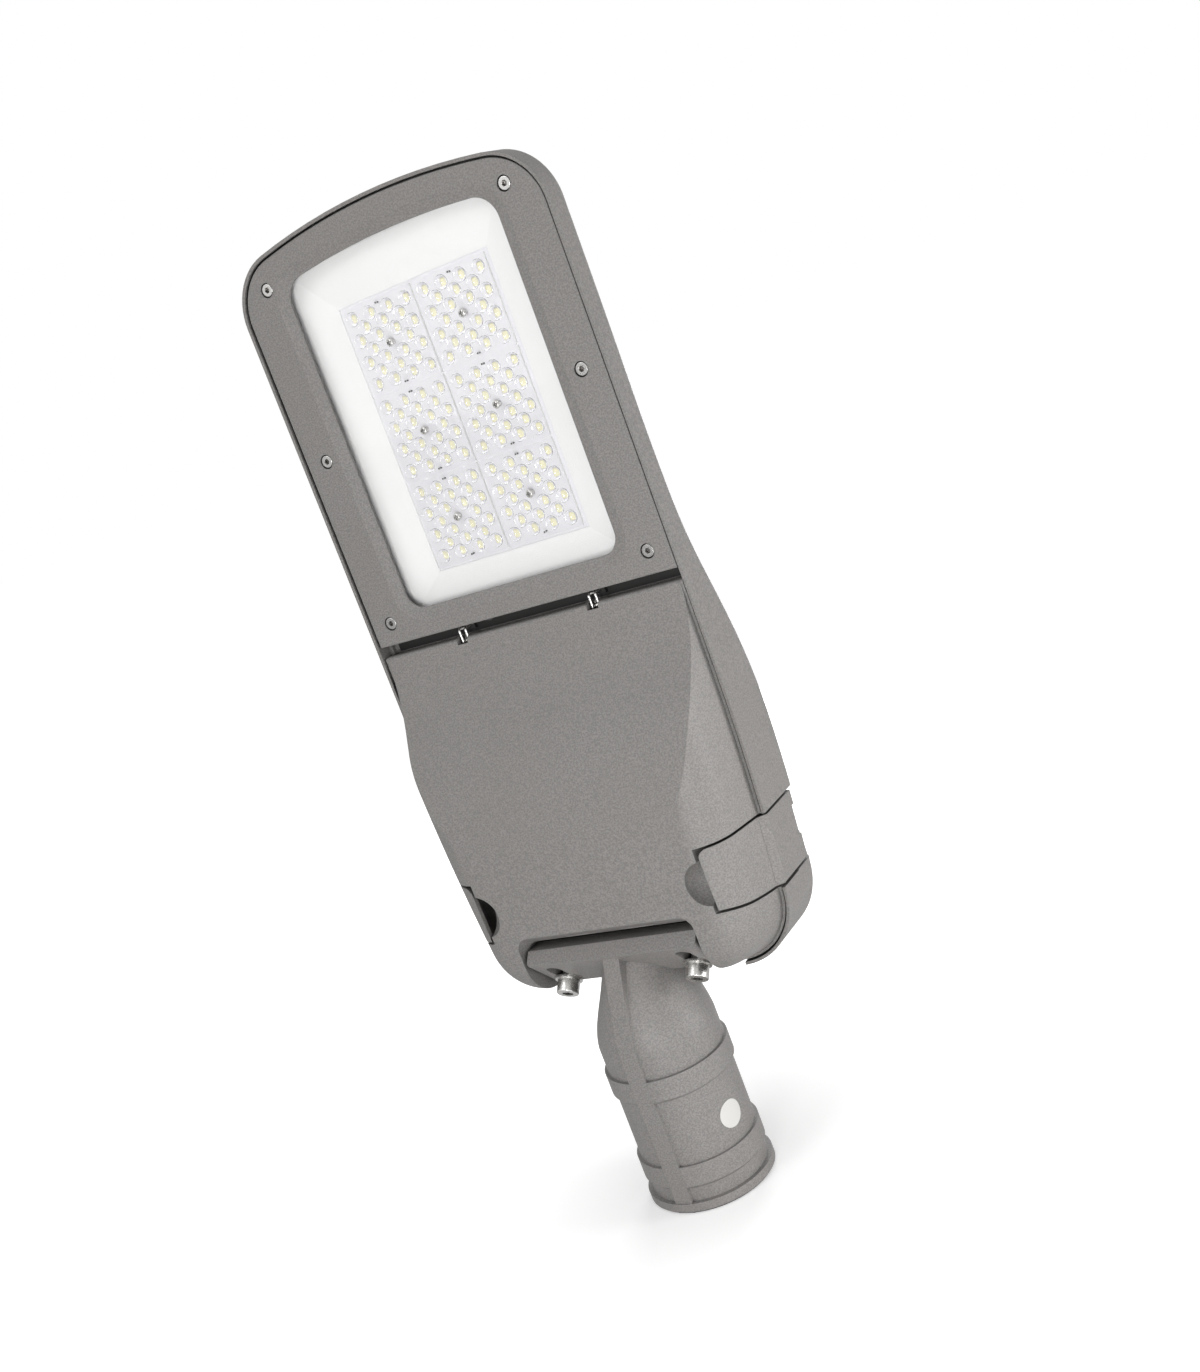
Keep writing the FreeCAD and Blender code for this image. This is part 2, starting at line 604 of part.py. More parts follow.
def housing():
    body = plan_prism(0.0, SEAM_Z, 90.0).common(crowned_form(BACK_PROFILE, 0.0, CROWN_R))
    top = max(body.Faces, key=lambda face: face.CenterOfMass.z)
    body = body.makeFillet(BACK_EDGE_R, top.Edges)
    body = fused([body] + cooling_fins())

    lower = plan_prism(RIM_WALL, SEAM_Z - 1.0, GASKET_SEAT_Z)
    gear_seat = lower.common(box(-FAR, FAR, 0, BEZEL_REAR_Y, 0, FAR))
    bezel_seat = lower.common(box(-FAR, FAR, BEZEL_REAR_Y - 1.0, FAR, 0, BEZEL_BACK_Z))
    lamp_space = plan_prism(HOUSING_WALL, SEAM_Z, BOARD_BACK_Z)
    lamp_space = lamp_space.common(box(-FAR, FAR, BEZEL_REAR_Y + DIVIDER_T, FAR, 0, FAR))
    channel = plan_prism(HOUSING_WALL, SEAM_Z, CHANNEL_TOP_Z)
    channel = channel.common(box(-FAR, FAR, CHANNEL_REAR_Y, BEZEL_REAR_Y, 0, FAR))
    for space in (gear_seat, bezel_seat, lamp_space, channel, gear_space()):
        body = body.cut(space)

    seat_plane = seat_shift(PLATE_T + SPIGOT_GASKET_T)
    behind_y = REAR_Y - REAR_CLEAR
    below_z = SEAM_Z - 1.0
    rear_cut = side_prism([(behind_y, seat_plane - behind_y), (seat_plane - below_z, below_z),
                           (behind_y, below_z)], CUTOUT_HALF_WIDTH)
    body = body.cut(rear_cut).fuse(seat_block()).cut(seat_hollow())

    wire_recess = box(-2 * GLAND_HOLE_R, 2 * GLAND_HOLE_R, BEZEL_REAR_Y + DIVIDER_T,
                      BEZEL_REAR_Y + DIVIDER_T + 4 * GLAND_HOLE_R, BOARD_BACK_Z - 1.0, GLAND_Z + GLAND_HOLE_R)
    body = body.cut(wire_recess)
    body = body.cut(rod(vec(0, GEAR_SPACE_Y - 1.0, GLAND_Z), Y_AXIS, GLAND_THREAD_R + FIT_GAP, 2 * DIVIDER_T))
    body = body.cut(rod(vec(VENT_X, BEZEL_REAR_Y - 1.0, VENT_Z), Y_AXIS, VENT_STEM_R + FIT_GAP,
                        DIVIDER_T + 2.0))

    for pocket in both_sides(latch_pocket(0.0)):
        body = body.cut(pocket)
    lug_length = LATCH_LUG_Y[1] - LATCH_LUG_Y[0]
    lug = box(POCKET_KNUCKLE_X - 1.0, LATCH_PIN_X, LATCH_LUG_Y[0], LATCH_LUG_Y[1],
              LATCH_PIN_Z - LATCH_LUG_R, LATCH_PIN_Z + LATCH_LUG_R)
    lug = lug.fuse(rod(vec(LATCH_PIN_X, LATCH_LUG_Y[0], LATCH_PIN_Z), Y_AXIS, LATCH_LUG_R, lug_length))
    pin_hole = rod(vec(LATCH_PIN_X, LATCH_LUG_Y[0] - 1.0, LATCH_PIN_Z), Y_AXIS, LATCH_PIN_R + PRESS_GAP,
                   lug_length + 2.0)
    hook_boss = box(HINGE_X - HOOK_BOSS_HALF_WIDTH, HINGE_X + HOOK_BOSS_HALF_WIDTH,
                    HOOK_LEG_Y - 2 * HOOK_WIRE_R - 0.4, BEZEL_REAR_Y + 1.0, HOOK_BOSS_Z, CHANNEL_TOP_Z + 1.0)
    for side in (lug, hook_boss):
        body = body.fuse(both_sides(side))
    posts = []
    for x, y in BEZEL_SCREWS:
        posts += both_sides(rod(vec(x, y, BEZEL_BOSS_Z), Z_AXIS, HOUSING_BOSS_R,
                                BOARD_BACK_Z - BEZEL_BOSS_Z + 1.0))
    ceiling = crowned_form(BACK_PROFILE, BACK_WALL / 2, CROWN_R)
    for x, y in GEAR_POSTS:
        posts.append(rod(vec(x, y, GEAR_TRAY_Z + GEAR_TRAY_T), Z_AXIS, GEAR_POST_R, 40.0).common(ceiling))
    body = body.fuse(posts)

    holes = both_sides(pin_hole)
    for x, y in BEZEL_SCREWS:
        holes += both_sides(rod(vec(x, y, BORE_FLOOR_Z), Z_AXIS, M4_R + FIT_GAP, M4_LENGTH + HOLE_END_GAP))
    for x, y in GEAR_POSTS:
        holes.append(rod(vec(x, y, GEAR_TRAY_Z), Z_AXIS, M4_R + FIT_GAP, TRAY_SCREW_LENGTH + HOLE_END_GAP))
    for x, y in module_centres():
        holes.append(rod(vec(x, y, LENS_FACE_Z), Z_AXIS, M3_R + FIT_GAP, M3_LENGTH + HOLE_END_GAP))
    for offset in (-HOOK_SPREAD / 2, HOOK_SPREAD / 2):
        leg = rod(vec(HINGE_X + offset, HOOK_LEG_Y, HOOK_BOSS_Z), Z_AXIS, HOOK_WIRE_R + FIT_GAP,
                  HOOK_LEG_GRIP + HOLE_END_GAP)
        holes += both_sides(leg)
    bolt_hole = on_plate(rod(vec(BOLT_X, BOLT_SLOPE_OFFSET, PLATE_T), Z_AXIS, BOLT_R + FIT_GAP, BOLT_LENGTH))
    holes += both_sides(bolt_hole)
    holes.append(on_plate(rod(vec(0, 0, PLATE_T), Z_AXIS, CABLE_HOLE_R, 2 * SEAT_WALL)))
    return body.cut(holes).removeSplitter()


# Bezel, glass and gasket


def bezel_frame():
    blank = plan_prism(BEZEL_INSET, BEZEL_FACE_Z, BEZEL_BACK_Z)
    blank = blank.common(box(-FAR, FAR, BEZEL_REAR_Y, FAR, 0, FAR))
    blank = blank.makeFillet(BEZEL_EDGE_R, edges_in_plane(blank, BEZEL_FACE_Z))
    rooted_z = BEZEL_BACK_Z - BEZEL_EDGE_R
    rib_grow = GLASS_OVERLAP + GLASS_SIDE_GAP
    rib = opening_prism(rib_grow + GLASS_RIB_T, rooted_z, GLASS_BACK_Z)
    rib = rib.cut(opening_prism(rib_grow, rooted_z, GLASS_BACK_Z))
    bosses = []
    bores = []
    for x, y in BEZEL_SCREWS:
        bosses += both_sides(rod(vec(x, y, rooted_z), Z_AXIS, BEZEL_BOSS_R, BEZEL_BOSS_Z - rooted_z))
        bores += both_sides(rod(vec(x, y, BEZEL_FACE_Z - 1.0), Z_AXIS, M4_BORE_R, M4_BORE_DEPTH + 1.0))
        bores += both_sides(rod(vec(x, y, BEZEL_FACE_Z), Z_AXIS, M4_R + 2 * FIT_GAP, BEZEL_BOSS_Z))
    window = opening_prism(0.0, 0.0, BEZEL_BACK_Z + 1.0)
    slope = ruled(opening_wire(SLOPE_WIDTH, BEZEL_FACE_Z), opening_wire(0.0, BEZEL_FACE_Z + SLOPE_DEPTH))
    return blank.fuse([rib] + bosses).cut([window, slope] + bores).removeSplitter()


def bezel_screws():
    screw = socket_screw(M4_R, M4_LENGTH, M4_HEAD_R, M4_HEAD_H, M4_SOCKET_AF)
    screws = []
    for x, y in BEZEL_SCREWS:
        placed = screw.copy()
        placed.translate(vec(x, y, BORE_FLOOR_Z))
        screws += both_sides(placed)
    return screws


def lens_glass():
    return opening_prism(GLASS_OVERLAP, GLASS_FACE_Z, GLASS_BACK_Z)


def glass_gasket():
    sheet = opening_prism(GLASS_OVERLAP + GLASS_SIDE_GAP - FIT_GAP, BEZEL_BACK_Z, GLASS_FACE_Z)
    return sheet.cut(opening_prism(1.0, BEZEL_BACK_Z, GLASS_FACE_Z))


# Lamp: board, chips, lens plates, tray


def module_centres():
    centres = []
    for row in range(MODULES_ALONG):
        for column in range(MODULES_ACROSS):
            x = (column - (MODULES_ACROSS - 1) / 2) * MODULE_PITCH
            y = ARRAY_Y + (row - (MODULES_ALONG - 1) / 2) * MODULE_PITCH
            centres.append((x, y))
    return centres


def chip_offsets():
    """Places of the chips in one module: staggered rows, with the middle left to the screw."""
    places = []
    for row, count in enumerate(ROW_COUNTS):
        y = (row - (len(ROW_COUNTS) - 1) / 2) * CHIP_PITCH / 2
        step = 2 * CHIP_PITCH if count == 2 else CHIP_PITCH
        for i in range(count):
            places.append(((i - (count - 1) / 2) * step, y))
    return places


def led_board():
    board = box(-ARRAY_HALF_WIDTH - BOARD_MARGIN, ARRAY_HALF_WIDTH + BOARD_MARGIN,
                ARRAY_Y - ARRAY_HALF_LENGTH - BOARD_MARGIN, ARRAY_Y + ARRAY_HALF_LENGTH + BOARD_MARGIN,
                BOARD_FACE_Z, BOARD_BACK_Z)
    holes = [rod(vec(x, y, BOARD_FACE_Z), Z_AXIS, M3_R + FIT_GAP, BOARD_T) for x, y in module_centres()]
    return board.cut(holes)


def led_chips():
    half = CHIP_SIZE / 2
    chips = []
    for cx, cy in module_centres():
        for dx, dy in chip_offsets():
            x = cx + dx
            y = cy + dy
            chips.append(box(x - half, x + half, y - half, y + half, LIGHT_PLANE_Z, BOARD_FACE_Z))
    return chips


def lens_plate():
    """One clear lens plate about the origin, at its real height."""
    half = LENS_PLATE_SIZE / 2
    inner = half - LENS_SKIRT_T
    plate = box(-half, half, -half, half, LENS_FACE_Z, BOARD_FACE_Z)
    plate = plate.cut(box(-inner, inner, -inner, inner, LENS_BACK_Z, BOARD_FACE_Z))
    dome_r = (LENS_DOME_R ** 2 + LENS_DOME_H ** 2) / (2 * LENS_DOME_H)
    dome_z = LENS_FACE_Z - LENS_DOME_H + dome_r
    cap = Part.makeSphere(dome_r, vec(0, 0, dome_z))
    cap = cap.common(box(-FAR, FAR, -FAR, FAR, -FAR, LENS_FACE_Z))
    domes = []
    for x, y in chip_offsets():
        dome = cap.copy()
        dome.translate(vec(x, y, 0))
        domes.append(dome)
    hub = rod(vec(0, 0, LENS_BACK_Z), Z_AXIS, 2 * M3_R, LENS_STANDOFF)
    holes = [rod(vec(0, 0, LENS_FACE_Z - 1.0), Z_AXIS, M3_R + FIT_GAP, 9.0)]
    for y in (-LENS_PIN_Y, LENS_PIN_Y):
        holes.append(rod(vec(0, y, LENS_FACE_Z - 1.0), Z_AXIS, LENS_PIN_R, LENS_PLATE_T + 2.0))
    return plate.fuse(domes + [hub]).cut(holes)


def module_screws():
    screws = []
    for x, y in module_centres():
        screw = pan_screw(M3_R, M3_LENGTH, M3_HEAD_R, M3_HEAD_H)
        screw.translate(vec(x, y, LENS_FACE_Z))
        screws.append(screw)
    return screws


def rectangle_wire(half_width, y0, y1, z):
    rows = [(-half_width, y0), (half_width, y0), (half_width, y1), (-half_width, y1), (-half_width, y0)]
    return Part.makePolygon([vec(x, y, z) for x, y in rows])


def reflector_tray():
    """Four mitred sloping sides from just behind the glass down to the board's margin."""
    rim_half = OPENING_HALF_WIDTH + TRAY_MARGIN
    rim_y0 = OPENING_REAR_Y - TRAY_MARGIN
    rim_y1 = OPENING_NOSE_Y + TRAY_MARGIN
    foot_half = ARRAY_HALF_WIDTH + TRAY_INNER_GAP
    foot_y0 = ARRAY_Y - ARRAY_HALF_LENGTH - TRAY_INNER_GAP
    foot_y1 = ARRAY_Y + ARRAY_HALF_LENGTH + TRAY_INNER_GAP
    rim_z = GLASS_BACK_Z + TRAY_GLASS_GAP
    outer = ruled(rectangle_wire(rim_half, rim_y0, rim_y1, rim_z),
                  rectangle_wire(foot_half, foot_y0, foot_y1, BOARD_FACE_Z))
    inner = outer.copy()
    inner.translate(vec(0, 0, -TRAY_T))
    foot_hole = box(-foot_half, foot_half, foot_y0, foot_y1, rim_z, BOARD_FACE_Z)
    flange_z = (rim_z, rim_z + TRAY_T)
    flange = box(-rim_half - TRAY_FLANGE, rim_half + TRAY_FLANGE, rim_y0 - TRAY_FLANGE, rim_y1 + TRAY_FLANGE,
                 *flange_z)
    flange = flange.cut(box(TRAY_FLANGE - rim_half, rim_half - TRAY_FLANGE, rim_y0 + TRAY_FLANGE,
                            rim_y1 - TRAY_FLANGE, *flange_z))
    return outer.cut([inner, foot_hole]).fuse(flange).removeSplitter()


# Gear cover


def above_underside(skin):
    """Space above the cover's underside, closed in front by the round lip and the flat front face."""
    below = curve_edge(COVER_UNDERSIDE, -FAR, skin, COVER_UNDERSIDE_END_SLOPE)
    first = below.valueAt(below.FirstParameter)
    last = below.valueAt(below.LastParameter)
    lip_centre = (first.y, first.z + COVER_LIP_R)
    lip = [vec(-FAR, *polar(lip_centre, COVER_LIP_R, angle)) for angle in (0.0, -math.pi / 4, -math.pi / 2)]
    low_z = last.z - REAR_CLEAR
    corners = [last, vec(-FAR, last.y, low_z), vec(-FAR, 0, low_z), vec(-FAR, 0, FAR),
               vec(-FAR, lip[0].y, FAR), lip[0]]
    rest = [Part.makeLine(corners[i], corners[i + 1]) for i in range(len(corners) - 1)]
    return Part.Face(Part.Wire([below] + rest + [Part.Arc(*lip).toShape()])).extrude(vec(2 * FAR, 0, 0))


def cover_form(skin, blank_y):
    """The gear cover's outer form, pulled in by skin, from a blank that reaches forward to blank_y."""
    inset = COVER_INSET + skin
    floor_z = COVER_FACE_Z + skin
    foot_inset = inset + (COVER_LEDGE_Z - floor_z) * math.tan(math.radians(COVER_DRAFT))
    rim = gear_wire(inset, blank_y, COVER_LEDGE_Z)
    bowl = ruled(rim, gear_wire(foot_inset, blank_y, floor_z))
    floor_edges = [edge for edge in edges_in_plane(bowl, floor_z) if edge.BoundBox.YMin < blank_y - 1.0]
    bowl = bowl.makeFillet(COVER_SHOULDER_R - skin, floor_edges)
    collar = Part.Face(rim).extrude(vec(0, 0, SKIRT_TOP_Z - COVER_LEDGE_Z))
    return bowl.fuse(collar).removeSplitter().common(above_underside(skin))


def hook_slot():
    """Room for a wire hook in the cover's front wall, on the right side. Its sloping rear wall comes level
    with the hook's strands, just below them, when the cover hangs open."""
    slot_r = HINGE_PIN_R + RUN_GAP + 2 * HOOK_WIRE_R + HOOK_SLOT_GAP
    swing = math.radians(COVER_SWING)
    knee_z = HINGE_Z - slot_r * math.tan((math.pi / 2 - swing) / 2)
    low_z = COVER_UNDERSIDE[0][1] - 2.0
    rear_y = HINGE_Y - slot_r
    low_y = rear_y + (knee_z - low_z) / math.tan(swing)
    front_y = COVER_FRONT_Y + 1.0
    top_z = HINGE_Z + HINGE_LUG_R + 1.0
    slot = side_prism([(rear_y, knee_z), (low_y, low_z), (front_y, low_z), (front_y, top_z), (rear_y, top_z)],
                      HOOK_SPREAD / 2 + HOOK_WIRE_R + 2 * HOOK_SLOT_GAP)
    slot.translate(vec(HINGE_X, 0, 0))
    return slot


def hinge_lugs():
    """The two ears that hold one hinge pin on the right side."""
    lugs = []
    gap = HOOK_SPREAD / 2 + HOOK_WIRE_R + HOOK_SLOT_GAP
    for x in (HINGE_X - gap - HINGE_LUG_T, HINGE_X + gap):
        ear = rod(vec(x, HINGE_Y, HINGE_Z), X_AXIS, HINGE_LUG_R, HINGE_LUG_T)
        foot = box(x, x + HINGE_LUG_T, HINGE_Y - HINGE_LUG_R, COVER_FRONT_Y - 2 * FIT_GAP,
                   HINGE_Z - HINGE_LUG_R - 1.5, HINGE_Z)
        lugs.append(ear.fuse(foot))
    return lugs


def gear_cover():
    blank_y = COVER_FRONT_Y + COVER_LIP_R
    skirt = Part.Face(gear_wire(BEZEL_INSET, blank_y, COVER_LEDGE_Z))
    skirt = skirt.extrude(vec(0, 0, SKIRT_TOP_Z - COVER_LEDGE_Z)).common(above_underside(0.0))
    front_y = COVER_FRONT_Y + 1.0
    top_z = SKIRT_TOP_Z + 1.0
    reach = COVER_TOP_CHAMFER + 2.0
    chamfer = side_prism([(front_y - reach, top_z), (front_y, top_z - reach), (front_y, top_z)], FAR)
    body = cover_form(0.0, blank_y).fuse(skirt).cut(chamfer)

    inside_y = COVER_FRONT_Y - COVER_WALL
    mouth = gear_wire(COVER_INSET + COVER_WALL, inside_y, SKIRT_TOP_Z - 0.5)
    space = cover_form(COVER_WALL, inside_y).fuse(Part.Face(mouth).extrude(vec(0, 0, 2.0)))
    space = space.cut(box(-FAR, FAR, CROSS_RIB_Y, CHANNEL_REAR_Y, -FAR, FAR))
    space = space.cut(cutout(COVER_WALL))
    for notch in both_sides(latch_notch(COVER_WALL)):
        space = space.cut(notch)
    dent = Part.makeSphere(FINGER_R, vec(LATCH_END_X, finger_y(), COVER_FACE_Z))
    dent_shell = Part.makeSphere(FINGER_R + COVER_WALL, vec(LATCH_END_X, finger_y(), COVER_FACE_Z))
    for shell in both_sides(dent_shell):
        space = space.cut(shell)
    body = body.cut(space)

    body = body.cut(cutout(0.0))
    for tool in both_sides(latch_notch(0.0)) + both_sides(dent):
        body = body.cut(tool)
    share = (CUTOUT_SLOT_Z[1] - COVER_FACE_Z) / (CUTOUT_KNEE_Z - COVER_FACE_Z)
    slot_end_y = CUTOUT_FRONT_Y - CUTOUT_SLOPE * share + CUTOUT_SLOT_DEPTH
    slot = box(*CUTOUT_SLOT_X, REAR_Y, slot_end_y, *CUTOUT_SLOT_Z)
    body = body.cut(both_sides(slot))
    for lug in hinge_lugs():
        body = body.fuse(both_sides(lug))
    hole_length = HINGE_PIN_LENGTH + 1.0
    hole_start = vec(HINGE_X - hole_length / 2, HINGE_Y, HINGE_Z)
    pin_hole = rod(hole_start, X_AXIS, HINGE_PIN_R + PRESS_GAP, hole_length)
    return body.cut(both_sides(hook_slot()) + both_sides(pin_hole)).removeSplitter()


def finger_y():
    return (LATCH_FRONT_Y + LATCH_REAR_Y) / 2 + 1.2


def hinge_pins():
    pin = rod(vec(HINGE_X - HINGE_PIN_LENGTH / 2, HINGE_Y, HINGE_Z), X_AXIS, HINGE_PIN_R, HINGE_PIN_LENGTH)
    return both_sides(pin)


def wire_along(points_and_arcs, radius):
    """Round wire swept along edges that meet tangentially."""
    path = Part.Wire(points_and_arcs)
    first = path.Edges[0]
    start = first.valueAt(first.FirstParameter)
    heading = first.tangentAt(first.FirstParameter)
    ring = Part.Wire(Part.makeCircle(radius, start, heading))
    return path.makePipeShell([ring], True, True)


def hinge_hooks():
    """Two-strand steel hooks: wrapped round the pin, across the gap, and up into the housing."""
    wrap_r = HINGE_PIN_R + RUN_GAP + HOOK_WIRE_R
    low_z = HINGE_Z - wrap_r
    wrap = math.radians(HOOK_WRAP)
    centre = (HINGE_Y, HINGE_Z)
    start = -math.pi / 2
    hooks = []
    for offset in (-HOOK_SPREAD / 2, HOOK_SPREAD / 2):
        x = HINGE_X + offset
        ring = [polar(centre, wrap_r, start - wrap * share) for share in (1.0, 0.5, 0.0)]
        bend_y = HOOK_LEG_Y - HOOK_BEND_R
        bend = [polar((bend_y, low_z + HOOK_BEND_R), HOOK_BEND_R, angle)
                for angle in (-math.pi / 2, -math.pi / 4, 0.0)]
        edges = [Part.Arc(*[vec(x, y, z) for y, z in ring]).toShape(),
                 Part.makeLine(vec(x, HINGE_Y, low_z), vec(x, bend_y, low_z)),
                 Part.Arc(*[vec(x, y, z) for y, z in bend]).toShape(),
                 Part.makeLine(vec(x, HOOK_LEG_Y, low_z + HOOK_BEND_R),
                               vec(x, HOOK_LEG_Y, HOOK_BOSS_Z + HOOK_LEG_GRIP))]
        hooks.append(wire_along(edges, HOOK_WIRE_R))
    tip = rod(vec(HINGE_X - HOOK_SPREAD / 2, HOOK_LEG_Y, low_z + HOOK_BEND_R), X_AXIS, 0.9 * HOOK_WIRE_R,
              HOOK_SPREAD)
    return both_sides(fused(hooks + [tip]))


def cover_gasket():
    """Rubber loop on top of the cover's walls, round the latches and the seat."""
    def loop(pull):
        sheet = gear_wire(BEZEL_INSET + pull, CHANNEL_REAR_Y - pull, SKIRT_TOP_Z + COVER_GASKET_GAP)
        prism = Part.Face(sheet).extrude(vec(0, 0, COVER_GASKET_T - COVER_GASKET_GAP))
        for space in both_sides(latch_notch(pull)) + [cutout(pull)]:
            prism = prism.cut(space)
        return prism
    return loop(GASKET_INSET).cut(loop(COVER_WALL - GASKET_INSET))


# Latches


def latch():
    """Right latch: arm flush with housing and cover, hinged at the back edge."""
    crease_z = SEAM_Z + LATCH_CREASE
    crease_foot = SEAM_Z - LATCH_CREASE / 4
    upper = plan_prism(0.0, crease_z, LATCH_ARM_TOP_Z)
    upper = upper.cut(plan_prism(LATCH_T, crease_z - 1.0, LATCH_ARM_TOP_Z + 1.0))
    crease = ruled(plan_wire(COVER_INSET, crease_foot), plan_wire(0.0, crease_z))
    crease = crease.cut(ruled(plan_wire(COVER_INSET + LATCH_T, crease_foot), plan_wire(LATCH_T, crease_z)))
    lower = cover_form(0.0, COVER_FRONT_Y).cut(cover_form(LATCH_T, COVER_FRONT_Y))
    lower = lower.common(box(LATCH_END_X, FAR, 0, HINGE_Y - 20.0, -FAR, SEAM_Z + 1.0))
    band = box(LATCH_END_X, FAR, 0, LATCH_FRONT_Y, -FAR, FAR)
    corner = [edge for edge in band.Edges if edge.BoundBox.ZLength > FAR and edge.BoundBox.XMax < FAR - 1.0
              and edge.BoundBox.YMin > 1.0]
    band = band.makeFillet(LATCH_CORNER_R, corner)
    sweep = rod(vec(0, HINGE_Y, HINGE_Z), X_AXIS, LATCH_SWEEP_R, FAR)
    sweep = sweep.common(box(0, FAR, 0, FAR, -FAR, crease_z))
    rear = box(0, FAR, LATCH_REAR_Y, FAR, crease_z, FAR)
    arm = upper.common(rear).fuse([crease, lower]).common(band).common(fused([sweep, rear]))

    knuckles = []
    lug_ends = (LATCH_LUG_Y[0] - LATCH_GAP / 2, LATCH_LUG_Y[1] + LATCH_GAP / 2)
    for y0, y1 in ((LATCH_REAR_Y, lug_ends[0]), (lug_ends[1], LATCH_FRONT_Y)):
        knuckles.append(rod(vec(LATCH_PIN_X, y0, LATCH_PIN_Z), Y_AXIS, LATCH_KNUCKLE_R, y1 - y0))
        web = box(LATCH_PIN_X, FAR, y0, y1, LATCH_PIN_Z - LATCH_KNUCKLE_R, LATCH_PIN_Z)
        knuckles.append(web.common(plan_prism(0.0, SEAM_Z, FAR)))
    arm = arm.fuse(knuckles)
    bore = rod(vec(LATCH_PIN_X, LATCH_REAR_Y - 1.0, LATCH_PIN_Z), Y_AXIS, LATCH_PIN_R + RUN_GAP, FAR)
    return arm.cut(bore).removeSplitter()


def latch_pin():
    start_y = LATCH_REAR_Y + 1.0
    return rod(vec(LATCH_PIN_X, start_y, LATCH_PIN_Z), Y_AXIS, LATCH_PIN_R, LATCH_FRONT_Y - 1.0 - start_y)


# Spigot


def spigot():
    rows = [(0.0, 0.0), (RIM_R - 1.0, 0.0), (RIM_R, 1.0), (RIM_R, RIM_LENGTH), (TUBE_R, RIM_LENGTH)]
    for start in RING_STARTS:
        end = start + RING_LENGTH
        rows += [(TUBE_R, start), (RING_R, start + RING_R - TUBE_R), (RING_R, end), (TUBE_R, end)]
    rows += [(TUBE_R, TUBE_END_Y), (0.0, TUBE_END_Y), (0.0, 0.0)]
    tube = Part.Face(Part.makePolygon([vec(r, y, 0) for r, y in rows])).revolve(ORIGIN, Y_AXIS, 360)

    sections = [Part.Wire([Part.makeCircle(TUBE_R)])]
    heights = [(TUBE_END_Y, 0.0)]
    for y, half_width, half_height, centre_z in NECK_SECTIONS:
        sections.append(Part.Wire([Part.Ellipse(ORIGIN, half_height, half_width).toShape()]))
        heights.append((y, centre_z))
    for section, (y, z) in zip(sections, heights):
        section.Placement = FreeCAD.Placement(vec(0, y, z), FreeCAD.Rotation(Z_AXIS, X_AXIS, Y_AXIS, "XYZ"))
    neck = Part.makeLoft(sections, True, False)

    keel = side_prism([(0.0, 0.0), (0.0, -RING_R)] + KEEL_RIDGE + [(KEEL_RIDGE[-1][0], 0.0)],
                      KEEL_HALF_WIDTH)
    pad = box(-PLATE_HALF_WIDTH, PLATE_HALF_WIDTH, *PAD_SLOPE_Y, -PAD_T, PLATE_T / 2)
    pad_edges = [edge for edge in pad.Edges
                 if edge.BoundBox.ZMax < 0 and (edge.BoundBox.YLength > 1.0 or edge.BoundBox.YMax < 0)]
    pad = on_plate(pad.makeFillet(PAD_EDGE_R, pad_edges)).common(box(-FAR, FAR, 0, PLATE_TOP_Y, -FAR, FAR))
    limit = seat_shift(PLATE_T / 2)
    outside = side_prism([(-1.0, limit + 1.0), (limit + TUBE_R, -TUBE_R), (limit + TUBE_R, -FAR),
                          (-1.0, -FAR)], FAR)
    bosses = [rod(vec(0, y, 0), Z_AXIS, CLAMP_BOSS_R, CLAMP_BOSS_TOP) for y in CLAMP_SCREW_YS]
    body = tube.fuse([neck.common(outside), keel.common(outside), pad, plate_blank(0.0, PLATE_T)] + bosses)

    elbow = vec(0, PLATE_CENTRE[0] - PLATE_CENTRE[1], 0)
    cuts = [rod(vec(0, -1.0, 0), Y_AXIS, SOCKET_R, SOCKET_DEPTH + 1.0),
            rod(vec(0, SOCKET_DEPTH - 1.0, 0), Y_AXIS, NECK_PASSAGE_R, elbow.y - SOCKET_DEPTH + 1.0),
            Part.makeSphere(NECK_PASSAGE_R, elbow),
            rod(elbow, vec(0, 1, 1), CABLE_HOLE_R, 3 * PLATE_T)]
    cuts += both_sides(slot_prism(PAD_SLOT_END_Y, -PAD_T - 1.0, 0.0))
    cuts += both_sides(slot_prism(PLATE_SLOT_END_Y, -1.0, PLATE_T + 1.0))
    for y in CLAMP_SCREW_YS:
        cuts.append(rod(vec(0, y, 0), Z_AXIS, CLAMP_SCREW_R + FIT_GAP, CLAMP_BOSS_TOP + 1.0))
    return body.cut(cuts).removeSplitter()


def spigot_gasket():
    sheet = plate_blank(PLATE_T, PLATE_T + SPIGOT_GASKET_T)
    holes = both_sides(slot_prism(PLATE_SLOT_END_Y, 0.0, PLATE_T + 2.0))
    return sheet.cut(holes + [on_plate(rod(vec(0, 0, 0), Z_AXIS, CABLE_HOLE_R, 20.0))])


def spigot_bolts():
    screw = socket_screw(BOLT_R, BOLT_LENGTH, BOLT_HEAD_R, BOLT_HEAD_H, BOLT_SOCKET_AF)
    screw.translate(vec(BOLT_X, BOLT_SLOPE_OFFSET, -PAD_T - WASHER_T))
    return both_sides(on_plate(screw))


def spigot_washers():
    washer = rod(vec(BOLT_X, BOLT_SLOPE_OFFSET, -PAD_T - WASHER_T), Z_AXIS, WASHER_R, WASHER_T)
    hole = rod(vec(BOLT_X, BOLT_SLOPE_OFFSET, -PAD_T - WASHER_T), Z_AXIS, BOLT_R + FIT_GAP, WASHER_T)
    return both_sides(on_plate(washer.cut(hole)))


